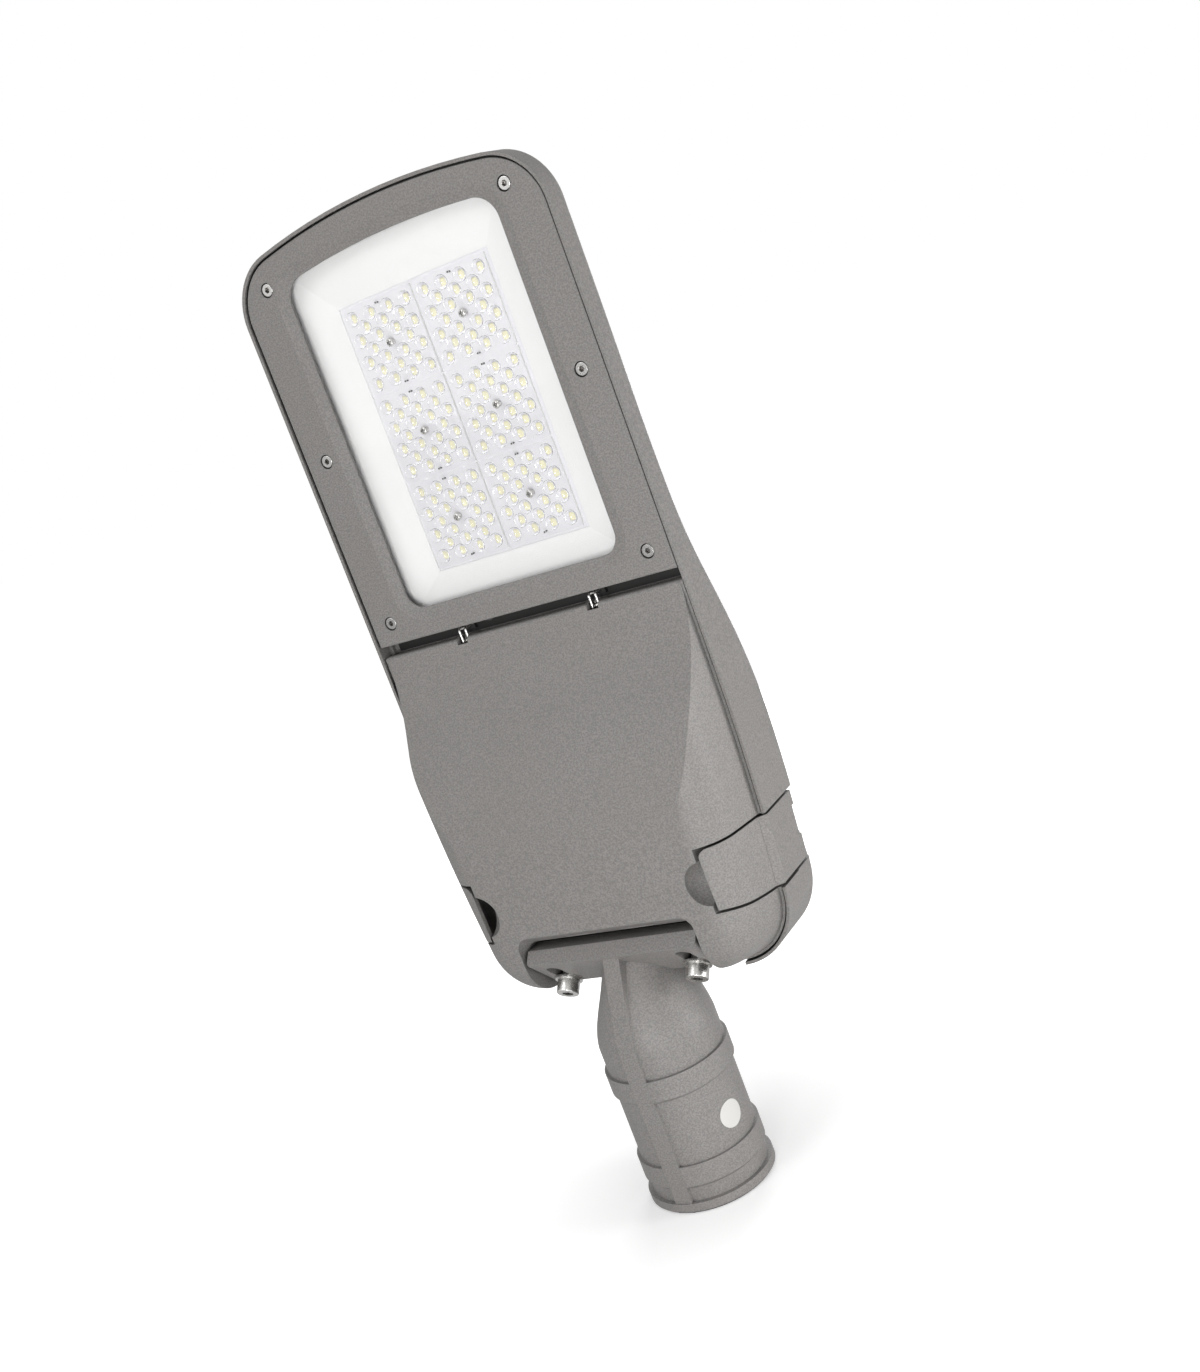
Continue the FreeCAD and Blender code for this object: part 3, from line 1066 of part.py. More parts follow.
def clamp_screws():
    low = SOCKET_R + HOLE_END_GAP
    high = CLAMP_BOSS_TOP - CLAMP_SCREW_SINK
    screws = []
    for y in CLAMP_SCREW_YS:
        socket = hexagon_prism(CLAMP_SCREW_R, CLAMP_SCREW_R)
        socket.translate(vec(0, y, high - CLAMP_SCREW_R))
        screws.append(rod(vec(0, y, low), Z_AXIS, CLAMP_SCREW_R, high - low).cut(socket))
    return screws


def inspection_sticker():
    tilt = math.radians(STICKER_ANGLE)
    outward = vec(-math.cos(tilt), 0, -math.sin(tilt))
    disc = rod(vec(0, STICKER_Y, 0), outward, STICKER_R, TUBE_R + 5.0)
    layer = rod(vec(0, 0, 0), Y_AXIS, TUBE_R + STICKER_T, TUBE_END_Y)
    layer = layer.cut(rod(vec(0, 0, 0), Y_AXIS, TUBE_R, TUBE_END_Y))
    return disc.common(layer)


# Gear inside


def gear_tray():
    x0, x1, y0, y1 = GEAR_TRAY
    sheet = box(x0, x1, y0, y1, GEAR_TRAY_Z, GEAR_TRAY_Z + GEAR_TRAY_T)
    latch_room = box(GEAR_TRAY_NARROW, FAR, 0, NOTCH_FRONT_Y + DIVIDER_T, 0, FAR)
    holes = [rod(vec(x, y, GEAR_TRAY_Z), Z_AXIS, M4_R + FIT_GAP, GEAR_TRAY_T) for x, y in GEAR_POSTS]
    return sheet.cut(both_sides(latch_room) + holes)


def tray_screws():
    screws = []
    for x, y in GEAR_POSTS:
        screw = pan_screw(M4_R, TRAY_SCREW_LENGTH, M4_HEAD_R, M3_HEAD_H)
        screw.translate(vec(x, y, GEAR_TRAY_Z))
        screws.append(screw)
    return screws


def led_driver():
    width, length, height = DRIVER_SIZE
    x0, y0 = DRIVER_CORNER
    low_z = GEAR_TRAY_Z - height
    case = box(x0, x0 + width, y0 + 2 * DRIVER_FOOT, y0 + length - 2 * DRIVER_FOOT, low_z, GEAR_TRAY_Z)
    lengthwise = [edge for edge in edges_in_plane(case, low_z) if edge.BoundBox.YLength > width]
    case = case.makeFillet(DRIVER_CORNER_R, lengthwise)
    foot = box(x0 + DRIVER_FOOT, x0 + width - DRIVER_FOOT, y0, y0 + length, GEAR_TRAY_Z - DRIVER_FOOT_T,
               GEAR_TRAY_Z)
    return case.fuse(foot).removeSplitter()


def surge_protector():
    width, length, height = SURGE_SIZE
    x0, y0 = SURGE_CORNER
    case = box(x0, x0 + width, y0, y0 + length, GEAR_TRAY_Z - height, GEAR_TRAY_Z)
    upright = [edge for edge in case.Edges if edge.BoundBox.ZLength > height - 1.0]
    return case.makeFillet(SURGE_CORNER_R, upright)


def terminal_block():
    depth, height = TERMINAL_SIZE
    x0, y0 = TERMINAL_CORNER
    width = TERMINAL_POLES * TERMINAL_PITCH
    low_z = GEAR_TRAY_Z - height
    block = box(x0, x0 + width, y0, y0 + depth, low_z, GEAR_TRAY_Z)
    cuts = []
    for i in range(TERMINAL_POLES):
        x = x0 + (i + 0.5) * TERMINAL_PITCH
        cuts.append(rod(vec(x, y0 + depth / 2, low_z - 1.0), Z_AXIS, TERMINAL_HOLE_R, 3 * TERMINAL_HOLE_R))
        cuts.append(box(x - TERMINAL_HOLE_R, x + TERMINAL_HOLE_R, y0 - 1.0, y0 + 2 * TERMINAL_HOLE_R,
                        low_z + 0.4 * height, low_z + 0.7 * height))
    return block.cut(cuts)


def cable_clamp():
    width, length, height = CLAMP_BAR_SIZE
    x0, y0 = CLAMP_BAR_CORNER
    bar = box(x0, x0 + width, y0, y0 + length, GEAR_TRAY_Z - height, GEAR_TRAY_Z)
    groove = rod(vec(x0 + width / 2, y0 - 1.0, GEAR_TRAY_Z), Y_AXIS, CABLE_R, length + 2.0)
    return bar.cut(groove)


def cable_gland():
    nut = aimed(hexagon_prism(GLAND_HEX_AF, 0.4 * GLAND_LENGTH), vec(0, GEAR_SPACE_Y, GLAND_Z), Y_AXIS * -1.0)
    dome = rod(vec(0, GEAR_SPACE_Y - GLAND_LENGTH, GLAND_Z), Y_AXIS, 0.46 * GLAND_HEX_AF, 0.7 * GLAND_LENGTH)
    thread = rod(vec(0, GEAR_SPACE_Y - 1.0, GLAND_Z), Y_AXIS, GLAND_THREAD_R,
                 BEZEL_REAR_Y + DIVIDER_T - GEAR_SPACE_Y + 1.0)
    hole = rod(vec(0, GEAR_SPACE_Y - 2 * GLAND_LENGTH, GLAND_Z), Y_AXIS, GLAND_HOLE_R, 3 * GLAND_LENGTH)
    return nut.fuse([dome, thread]).cut(hole).removeSplitter()


def breather_vent():
    cap = rod(vec(VENT_X, BEZEL_REAR_Y - VENT_CAP_T, VENT_Z), Y_AXIS, VENT_R, VENT_CAP_T)
    stem = rod(vec(VENT_X, BEZEL_REAR_Y, VENT_Z), Y_AXIS, VENT_STEM_R, DIVIDER_T)
    return cap.fuse(stem)


def export(name, shape):
    solids = shape if isinstance(shape, list) else [shape]
    parts = [solid for item in solids for solid in item.Solids]
    whole = parts[0] if len(parts) == 1 else Part.makeCompound(parts)
    whole.exportStep("parts/" + name + ".step")
    print(name, len(parts), round(whole.Volume / 1000, 2), "cm3", "ok" if whole.isValid() else "INVALID")


def main():
    os.makedirs("parts", exist_ok=True)
    export("housing", housing())
    export("bezel_frame", bezel_frame())
    export("bezel_screws", bezel_screws())
    export("lens_glass", lens_glass())
    export("glass_gasket", glass_gasket())
    export("reflector_tray", reflector_tray())
    export("led_board", led_board())
    export("led_chips", led_chips())
    plate = lens_plate()
    for number, (x, y) in enumerate(module_centres(), start=1):
        placed = plate.copy()
        placed.translate(vec(x, y, 0))
        export("lens_plate_" + str(number), placed)
    export("module_screws", module_screws())
    export("gear_cover", gear_cover())
    export("cover_gasket", cover_gasket())
    export("hinge_pins", hinge_pins())
    export("hinge_hooks", hinge_hooks())
    right_latch = latch()
    export("latch_right", right_latch)
    export("latch_left", mirrored(right_latch))
    export("latch_pin_right", latch_pin())
    export("latch_pin_left", mirrored(latch_pin()))
    export("spigot", spigot())
    export("spigot_gasket", spigot_gasket())
    export("spigot_bolts", spigot_bolts())
    export("spigot_washers", spigot_washers())
    export("clamp_screws", clamp_screws())
    export("inspection_sticker", inspection_sticker())
    export("gear_tray", gear_tray())
    export("tray_screws", tray_screws())
    export("led_driver", led_driver())
    export("surge_protector", surge_protector())
    export("terminal_block", terminal_block())
    export("cable_clamp", cable_clamp())
    export("cable_gland", cable_gland())
    export("breather_vent", breather_vent())


if __name__ == "__main__":
    main()
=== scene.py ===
import bmesh
import bpy
import json
import math
from mathutils import Matrix, Vector


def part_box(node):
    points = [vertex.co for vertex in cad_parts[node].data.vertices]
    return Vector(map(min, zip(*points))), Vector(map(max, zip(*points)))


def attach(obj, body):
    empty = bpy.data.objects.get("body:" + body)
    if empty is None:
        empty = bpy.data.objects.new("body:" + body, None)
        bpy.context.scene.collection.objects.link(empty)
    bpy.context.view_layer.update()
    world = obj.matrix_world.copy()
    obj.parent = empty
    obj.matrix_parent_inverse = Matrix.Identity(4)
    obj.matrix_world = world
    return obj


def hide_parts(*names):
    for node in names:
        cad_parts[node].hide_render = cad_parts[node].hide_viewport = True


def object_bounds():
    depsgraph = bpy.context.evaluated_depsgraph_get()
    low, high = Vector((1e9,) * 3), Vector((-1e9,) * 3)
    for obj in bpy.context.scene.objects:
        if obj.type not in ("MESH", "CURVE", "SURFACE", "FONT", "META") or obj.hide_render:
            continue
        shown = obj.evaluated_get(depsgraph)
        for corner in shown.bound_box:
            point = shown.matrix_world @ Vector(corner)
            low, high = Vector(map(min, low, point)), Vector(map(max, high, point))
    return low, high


# LED street light head, standing on the mouth of its spigot and seen from the side of its glass.
# Lengths are in metres, in the frame of the part as it hangs on its pole: +Y runs from the spigot's mouth to
# the nose and +Z is up. The floor on which it stands here lies square to Y, below the mouth.

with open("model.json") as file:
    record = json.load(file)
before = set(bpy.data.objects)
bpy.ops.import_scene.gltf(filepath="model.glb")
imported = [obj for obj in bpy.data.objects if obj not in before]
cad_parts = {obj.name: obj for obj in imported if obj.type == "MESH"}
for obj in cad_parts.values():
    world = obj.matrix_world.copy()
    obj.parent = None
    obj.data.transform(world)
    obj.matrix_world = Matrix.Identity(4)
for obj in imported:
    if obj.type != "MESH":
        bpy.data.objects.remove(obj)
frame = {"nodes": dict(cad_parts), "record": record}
cad_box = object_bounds()
nodes = frame["nodes"]

MM = 0.001


# Camera

CAMERA_PLACE = Vector((-508.8, 467.8, -711.0)) * MM
CAMERA_RIGHT = Vector((-0.8217, -0.3435, 0.4547)).normalized()
CAMERA_UP = Vector((-0.1935, 0.9187, 0.3444)).normalized()
FOCAL_LENGTH_MM = 42.85
NEAREST_SEEN = 0.01


def set_camera():
    lens = bpy.data.cameras.new("camera")
    lens.lens = FOCAL_LENGTH_MM
    lens.clip_start = NEAREST_SEEN
    camera = bpy.data.objects.new("camera", lens)
    back = CAMERA_RIGHT.cross(CAMERA_UP).normalized()
    up = back.cross(CAMERA_RIGHT)
    turn = Matrix((CAMERA_RIGHT, up, back)).transposed()
    camera.matrix_world = Matrix.Translation(CAMERA_PLACE) @ turn.to_4x4()
    bpy.context.scene.collection.objects.link(camera)
    bpy.context.scene.camera = camera


# Materials

# Sockets of a colour Mix node, which go by number because its other kinds share their names
SHARE, FIRST, SECOND, BLENDED = 0, 6, 7, 2
EDGE_SAMPLES = 4
GAP_SAMPLES = 6
NOISE_LOW, NOISE_HIGH = 0.35, 0.65

# The powder's real grains are 0.3 mm, too fine to show, so the speckle is drawn at 0.9 mm.
POWDER_SPECKLE = 0.9 * MM
POWDER_SKIN = 0.1 * MM
PAINT_CLOUD = 90 * MM
CAST_EDGE_R = 0.7 * MM
# Reach of the painted shade that darkens narrow gaps in the coat
PAINTED_SHADE_GAP = 5.0 * MM
# Middle and half width of the hinge's channel along each axis, where the coat is painted near black as shade
PAINTED_SHADE_CHANNEL = {"X": (0.0, 98 * MM), "Y": (342.8 * MM, 3.1 * MM), "Z": (27.5 * MM, 5.5 * MM)}

TUMBLING_MARK = 0.6 * MM
TUMBLING_DEPTH = 0.03 * MM
SCREW_EDGE_R = 0.25 * MM
# Reach of the painted shade that darkens the screws' sockets
SOCKET_SHADE_GAP = 2.5 * MM

ROLLER_WAVE = 250 * MM
ROLLER_WAVE_DEPTH = 0.05 * MM
FLOW_LINE = 6 * MM
FLOW_LINE_DEPTH = 0.05 * MM
UPRIGHT_BELOW = 0.3
FROST_GLOW = 0.6
ZINC_CRYSTAL = 7 * MM

PAINT_IOR = 1.5
GLASS_IOR = 1.5
ACRYLIC_IOR = 1.49
ROUGHNESS_SPREAD = 0.05


def linear(code):
    """Linear colour of an sRGB hex code."""
    parts = [int(code[i:i + 2], 16) / 255 for i in (1, 3, 5)]
    return [p / 12.92 if p <= 0.04045 else ((p + 0.055) / 1.055) ** 2.4 for p in parts] + [1.0]


def new_material(name):
    """An empty material and its node tree."""
    made = bpy.data.materials.new(name)
    made.use_nodes = True
    made.node_tree.nodes.clear()
    return made, made.node_tree


def add(tree, kind, values=None):
    """Add a node with its settings and links. A value that is a node or a socket is linked, a node by its
    first output; any other is set on the input of that name or number, or else on the node itself."""
    node = tree.nodes.new(kind)
    for name, value in (values or {}).items():
        if isinstance(value, bpy.types.Node):
            value = value.outputs[0]
        if isinstance(value, bpy.types.NodeSocket):
            tree.links.new(value, node.inputs[name])
        elif isinstance(name, int) or name in node.inputs:
            node.inputs[name].default_value = value
        else:
            setattr(node, name, value)
    return node


def powder_coat():
    """Polyester powder coat, baked on die-cast aluminium: a matt warm grey whose fine pebbled skin breaks up
    the light, a little lighter where handling has rubbed the cast edges. Narrow gaps and the channel of the
    cover's hinge are darkened to near black as painted shade."""
    made, tree = new_material("powder_coated_die_casting")
    point = add(tree, "ShaderNodeTexCoord").outputs["Object"]
    speckle = add(tree, "ShaderNodeTexNoise", {"Scale": 1.0 / POWDER_SPECKLE, "Detail": 1.0, "Vector": point})
    tone = add(tree, "ShaderNodeMapRange", {"Value": speckle, "From Min": NOISE_LOW, "From Max": NOISE_HIGH})
    grey = add(tree, "ShaderNodeMix", {
        "data_type": "RGBA", SHARE: tone, FIRST: linear("#6B6967"), SECOND: linear("#827F7D")})

    cloud = add(tree, "ShaderNodeTexNoise", {"Scale": 1.0 / PAINT_CLOUD, "Detail": 1.0, "Vector": point})
    drift = add(tree, "ShaderNodeMapRange", {
        "Value": cloud, "From Min": NOISE_LOW, "From Max": NOISE_HIGH, "To Max": 0.12})
    drifted = add(tree, "ShaderNodeMix", {
        "data_type": "RGBA", SHARE: drift, FIRST: grey.outputs[BLENDED], SECOND: linear("#6F6A66")})

    rounded = add(tree, "ShaderNodeBevel", {"samples": EDGE_SAMPLES, "Radius": CAST_EDGE_R})
    flat = add(tree, "ShaderNodeNewGeometry").outputs["Normal"]
    along = add(tree, "ShaderNodeVectorMath", {"operation": "DOT_PRODUCT", 0: rounded, 1: flat})
    edge = add(tree, "ShaderNodeMapRange", {
        "Value": along.outputs["Value"], "From Min": 0.995, "From Max": 0.9, "To Max": 0.4})
    rubbed = add(tree, "ShaderNodeMix", {
        "data_type": "RGBA", SHARE: edge, FIRST: drifted.outputs[BLENDED], SECOND: linear("#92908D")})

    # Painted shade: gaps narrower than the reach, and the hinge's channel, turn near black
    shade_probe = add(tree, "ShaderNodeAmbientOcclusion", {"samples": GAP_SAMPLES, "Distance": PAINTED_SHADE_GAP})
    gap_unshaded = add(tree, "ShaderNodeMapRange", {
        "Value": shade_probe.outputs["AO"], "From Min": 0.22, "From Max": 0.5})
    place = add(tree, "ShaderNodeSeparateXYZ", {"Vector": point})
    in_x, in_y, in_z = [
        add(tree, "ShaderNodeMath", {"operation": "COMPARE", 0: place.outputs[axis], 1: middle, 2: reach})
        for axis, (middle, reach) in PAINTED_SHADE_CHANNEL.items()]
    in_plan = add(tree, "ShaderNodeMath", {"operation": "MULTIPLY", 0: in_x, 1: in_y})
    channel = add(tree, "ShaderNodeMath", {"operation": "MULTIPLY", 0: in_plan, 1: in_z})
    outside = add(tree, "ShaderNodeMath", {"operation": "SUBTRACT", 0: 1.0, 1: channel})
    shade_free = add(tree, "ShaderNodeMath", {"operation": "MULTIPLY", 0: gap_unshaded, 1: outside})
    # Near-black painted shade, mixed in where the gaps and the channel darken the coat
    colour = add(tree, "ShaderNodeMix", {
        "data_type": "RGBA", SHARE: shade_free, FIRST: linear("#1B1A19"), SECOND: rubbed.outputs[BLENDED]})

    rough = add(tree, "ShaderNodeMapRange", {"Value": speckle, "To Min": 0.48, "To Max": 0.62})
    bump = add(tree, "ShaderNodeBump", {
        "Strength": 0.14, "Distance": POWDER_SKIN, "Height": speckle, "Normal": rounded})
    skin = add(tree, "ShaderNodeBsdfPrincipled", {
        "IOR": PAINT_IOR, "Base Color": colour.outputs[BLENDED], "Roughness": rough, "Normal": bump})
    add(tree, "ShaderNodeOutputMaterial", {"Surface": skin})
    return made


def turned_stainless():
    """A2 stainless steel, cold headed and tumbled: bright and slightly soft, with faint marks round the heads
    and painted shade that darkens the sockets."""
    made, tree = new_material("tumbled_stainless_steel")
    point = add(tree, "ShaderNodeTexCoord").outputs["Object"]
    marks = add(tree, "ShaderNodeTexNoise", {"Scale": 1.0 / TUMBLING_MARK, "Detail": 3.0, "Vector": point})
    tint = add(tree, "ShaderNodeMix", {
        "data_type": "RGBA", SHARE: marks, FIRST: linear("#C4C2BF"), SECOND: linear("#D9D8D6")})
    # Painted shade: the hollows of the sockets turn dark grey-brown
    shade_probe = add(tree, "ShaderNodeAmbientOcclusion", {
        "samples": GAP_SAMPLES, "only_local": True, "Distance": SOCKET_SHADE_GAP})
    socket_unshaded = add(tree, "ShaderNodeMapRange", {
        "Value": shade_probe.outputs["AO"], "From Min": 0.3, "From Max": 0.75})
    colour = add(tree, "ShaderNodeMix", {
        "data_type": "RGBA", SHARE: socket_unshaded, FIRST: linear("#3B3633"), SECOND: tint.outputs[BLENDED]})
    rough = add(tree, "ShaderNodeMapRange", {"Value": marks, "To Min": 0.2, "To Max": 0.36})
    rounded = add(tree, "ShaderNodeBevel", {"samples": EDGE_SAMPLES, "Radius": SCREW_EDGE_R})
    bump = add(tree, "ShaderNodeBump", {
        "Strength": 0.15, "Distance": TUMBLING_DEPTH, "Height": marks, "Normal": rounded})
    metal = add(tree, "ShaderNodeBsdfPrincipled", {
        "Metallic": 1.0, "Base Color": colour.outputs[BLENDED], "Roughness": rough, "Normal": bump})
    add(tree, "ShaderNodeOutputMaterial", {"Surface": metal})
    return made


def float_glass():
    """Toughened float glass: nearly invisible face on, mirroring a little more as it turns away. The rollers
    of the toughening oven leave waves a few hundredths of a millimetre high."""
    made, tree = new_material("toughened_float_glass")
    point = add(tree, "ShaderNodeTexCoord").outputs["Object"]
    waves = add(tree, "ShaderNodeTexNoise", {"Scale": 1.0 / ROLLER_WAVE, "Detail": 0.0, "Vector": point})
    bump = add(tree, "ShaderNodeBump", {"Strength": 0.1, "Distance": ROLLER_WAVE_DEPTH, "Height": waves})
    clear = add(tree, "ShaderNodeBsdfTransparent", {"Color": linear("#FDFDFD")})
    mirror = add(tree, "ShaderNodeBsdfGlossy", {"Roughness": 0.02, "Normal": bump})
    glance = add(tree, "ShaderNodeFresnel", {"IOR": GLASS_IOR, "Normal": bump})
    backfacing = add(tree, "ShaderNodeNewGeometry").outputs["Backfacing"]
    entering = add(tree, "ShaderNodeMapRange", {"Value": backfacing, "From Min": 1.0, "From Max": 0.0})
    mirrored = add(tree, "ShaderNodeMath", {"operation": "MULTIPLY", 0: glance, 1: entering})
    pane = add(tree, "ShaderNodeMixShader", {0: mirrored, 1: clear, 2: mirror})
    add(tree, "ShaderNodeOutputMaterial", {"Surface": pane})
    return made


def moulded_acrylic():
    """Injection-moulded clear acrylic: its polished domes bend and enlarge the chips behind them, and the
    upright walls that slide on the mould are frosted. Light on its way to matt surfaces passes straight."""
    made, tree = new_material("moulded_clear_acrylic")
    point = add(tree, "ShaderNodeTexCoord").outputs["Object"]
    flow = add(tree, "ShaderNodeTexNoise", {"Scale": 1.0 / FLOW_LINE, "Detail": 1.0, "Vector": point})
    bump = add(tree, "ShaderNodeBump", {"Strength": 0.05, "Distance": FLOW_LINE_DEPTH, "Height": flow})
    polished = add(tree, "ShaderNodeBsdfGlass", {
        "Color": linear("#FFFFFF"), "Roughness": 0.02, "IOR": ACRYLIC_IOR, "Normal": bump})

    skin = add(tree, "ShaderNodeBsdfDiffuse", {"Color": linear("#FAFAFA")})
    glow = add(tree, "ShaderNodeBsdfTranslucent", {"Color": linear("#FAFAFA")})
    frosted = add(tree, "ShaderNodeMixShader", {0: FROST_GLOW, 1: skin, 2: glow})
    facing = add(tree, "ShaderNodeNewGeometry").outputs["True Normal"]
    slope = add(tree, "ShaderNodeSeparateXYZ", {"Vector": facing}).outputs["Z"]
    level = add(tree, "ShaderNodeMath", {"operation": "ABSOLUTE", 0: slope})
    upright = add(tree, "ShaderNodeMath", {"operation": "LESS_THAN", 0: level, 1: UPRIGHT_BELOW})
    solid = add(tree, "ShaderNodeMixShader", {0: upright, 1: polished, 2: frosted})

    through = add(tree, "ShaderNodeBsdfTransparent", {"Color": linear("#FEFEFE")})
    path = add(tree, "ShaderNodeLightPath")
    lighting = add(tree, "ShaderNodeMath", {
        "operation": "MAXIMUM", 0: path.outputs["Is Shadow Ray"], 1: path.outputs["Is Diffuse Ray"]})
    lens = add(tree, "ShaderNodeMixShader", {0: lighting, 1: solid, 2: through})
    add(tree, "ShaderNodeOutputMaterial", {"Surface": lens})
    return made


def zinc_plate():
    """Galvanised steel sheet: large dull crystals with slightly different greys."""
    made, tree = new_material("galvanised_steel_sheet")
    point = add(tree, "ShaderNodeTexCoord").outputs["Object"]
    crystals = add(tree, "ShaderNodeTexVoronoi", {"Scale": 1.0 / ZINC_CRYSTAL, "Vector": point})
    tone = crystals.outputs["Color"]
    colour = add(tree, "ShaderNodeMix", {
        "data_type": "RGBA", SHARE: tone, FIRST: linear("#B4B7B9"), SECOND: linear("#D2D5D6")})
    rough = add(tree, "ShaderNodeMapRange", {"Value": tone, "To Min": 0.3, "To Max": 0.5})
    metal = add(tree, "ShaderNodeBsdfPrincipled", {
        "Metallic": 1.0, "Base Color": colour.outputs[BLENDED], "Roughness": rough})
    add(tree, "ShaderNodeOutputMaterial", {"Surface": metal})
    return made


def smooth_coat(name, low, high, grain, depth, roughness, edge_r):
    """A plain opaque skin: two close tones, a fine grain of this size and depth, and softened edges. The
    grain, its depth and the radius of the edges are in millimetres."""
    made, tree = new_material(name)
    point = add(tree, "ShaderNodeTexCoord").outputs["Object"]
    fine = add(tree, "ShaderNodeTexNoise", {"Scale": 1.0 / (grain * MM), "Detail": 2.0, "Vector": point})
    colour = add(tree, "ShaderNodeMix", {
        "data_type": "RGBA", SHARE: fine, FIRST: linear(low), SECOND: linear(high)})
    rough = add(tree, "ShaderNodeMapRange", {
        "Value": fine, "To Min": roughness - ROUGHNESS_SPREAD, "To Max": roughness + ROUGHNESS_SPREAD})
    rounded = add(tree, "ShaderNodeBevel", {"samples": EDGE_SAMPLES, "Radius": edge_r * MM})
    bump = add(tree, "ShaderNodeBump", {
        "Strength": 0.3, "Distance": depth * MM, "Height": fine, "Normal": rounded})
    skin = add(tree, "ShaderNodeBsdfPrincipled", {
        "IOR": PAINT_IOR, "Base Color": colour.outputs[BLENDED], "Roughness": rough, "Normal": bump})
    add(tree, "ShaderNodeOutputMaterial", {"Surface": skin})
    return made


set_camera()

FINISHES = {
    "painted_casting": powder_coat(),
    "stainless_steel": turned_stainless(),
    "flat_glass": float_glass(),
    "clear_lens": moulded_acrylic(),
    "zinc_sheet": zinc_plate(),
    # EPDM rubber, extruded: deep black with a dull skin
    "black_rubber": smooth_coat("extruded_epdm_rubber", "#121212", "#1C1C1B",
                                grain=0.7, depth=0.05, roughness=0.65, edge_r=0.2),
    # Aluminium sheet, folded and painted white: bright, with a faint orange-peel skin
    "white_tray": smooth_coat("white_painted_sheet", "#EFEFEE", "#F3F3F2",
                              grain=2.5, depth=0.04, roughness=0.4, edge_r=0.3),
    # Aluminium circuit board under white solder mask: flat, bright and a little glossy
    "white_board": smooth_coat("white_solder_mask", "#E5E4E8", "#EAE9ED",
                               grain=1.5, depth=0.02, roughness=0.35, edge_r=0.1),
    # Phosphor in silicone over the chip: pale yellow, powdery, soft at its edges
    "led_phosphor": smooth_coat("phosphor_silicone", "#F1EBC0", "#F8F4D6",
                                grain=0.5, depth=0.03, roughness=0.5, edge_r=0.15),
    # Blank vinyl label: white with a soft sheen
    "white_sticker": smooth_coat("white_vinyl_film", "#BFBEBB", "#C5C4C1",
                                 grain=0.8, depth=0.01, roughness=0.45, edge_r=0.05),
    # ABS, moulded in a spark-eroded tool: off-white and evenly matt
    "white_plastic_case": smooth_coat("moulded_white_abs", "#DCDCDA", "#E4E4E2",
                                      grain=0.6, depth=0.05, roughness=0.5, edge_r=0.4),
    # Glass-filled nylon, moulded: black with a dry grey bloom
    "black_plastic": smooth_coat("moulded_black_nylon", "#161617", "#222223",
                                 grain=0.6, depth=0.05, roughness=0.55, edge_r=0.3),
}

for row in frame["record"]["subparts"]:
    data = nodes[row["node"]].data
    data.materials.clear()
    data.materials.append(FINISHES[row["material_slot"]])


# Shapes


def neighbours(loop):
    """Each point of a closed loop with the next one."""
    return list(zip(loop, loop[1:] + loop[:1]))


def ring(shape, centre, radius, z, segments):
    """Add a level circle of points to the shape."""
    turns = [2 * math.pi * i / segments for i in range(segments)]
    return [shape.verts.new((centre[0] + radius * math.cos(turn), centre[1] + radius * math.sin(turn), z))
            for turn in turns]


def outline(shape, centre, places, z):
    """Add a level loop through these (x, y) places round the centre."""
    return [shape.verts.new((centre[0] + x, centre[1] + y, z)) for x, y in places]


def band(shape, first, second, smooth=False):
    """Join two loops of points by a band of faces."""
    for (a, b), (c, d) in zip(neighbours(first), neighbours(second)):
        shape.faces.new((a, b, d, c)).smooth = smooth


def bands(shape, loops, smooth=False):
    """Join a row of loops, each to the next."""
    for first, second in zip(loops, loops[1:]):
        band(shape, first, second, smooth)


def cap(shape, loop, height, smooth=False):
    """Close a loop of points with a fan to its middle at this height."""
    middle = sum((point.co for point in loop), Vector()) / len(loop)
    tip = shape.verts.new((middle.x, middle.y, height))
    for a, b in neighbours(loop):
        shape.faces.new((a, b, tip)).smooth = smooth


def rounded_square(half, corner_r, steps):
    """Outline of a square with round corners, as (x, y) places."""
    places = []
    for quarter in range(4):
        for i in range(steps + 1):
            turn = math.pi / 2 * (quarter + i / steps)
            cx = (half - corner_r) * (1 if quarter in (0, 3) else -1)
            cy = (half - corner_r) * (1 if quarter in (0, 1) else -1)
            places.append((cx + corner_r * math.cos(turn), cy + corner_r * math.sin(turn)))
    return places


def piece(name, shape, slot, replaced, body="lamp"):
    """Finish a shape as a piece that rides on a body, stands for its CAD nodes and has the slot's finish."""
    bmesh.ops.recalc_face_normals(shape, faces=shape.faces)
    mesh = bpy.data.meshes.new(name)
    shape.to_mesh(mesh)
    shape.free()
    mesh.materials.append(FINISHES[slot])
    made = bpy.data.objects.new(name, mesh)
    bpy.context.scene.collection.objects.link(made)
    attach(made, body)
    if replaced:
        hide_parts(*replaced)


# Lamp modules: chips, lenses, screws and pins

CHIP_PITCH = 12.5 * MM
CHIP_ROWS = (4, 3, 4, 2, 4, 3, 4)
CHIP_SIZE = 3.2 * MM
PACKAGE_CORNER_R = 0.25 * MM
PACKAGE_CHAMFER = 0.06 * MM
PHOSPHOR_MARGIN = 0.14 * MM
PHOSPHOR_CORNER_R = 0.7 * MM
PHOSPHOR_CROWN = 0.12 * MM
# Share of the pad's width, and of its crown's height, from its foot up
PHOSPHOR_PROFILE = ((1.0, 0.0), (0.9, 0.5), (0.6, 0.85), (0.3, 0.97))

DOME_R = 4.0 * MM
DOME_HEIGHT = 2.2 * MM
DOME_STEPS = (0.9, 0.78, 0.62, 0.42, 0.2)
DOME_SEGMENTS = 28
PLATE_T = 1.5 * MM
PLATE_CORNER_R = 1.0 * MM
FOOT_R = 3.1 * MM
FOOT_GAP = 0.06 * MM

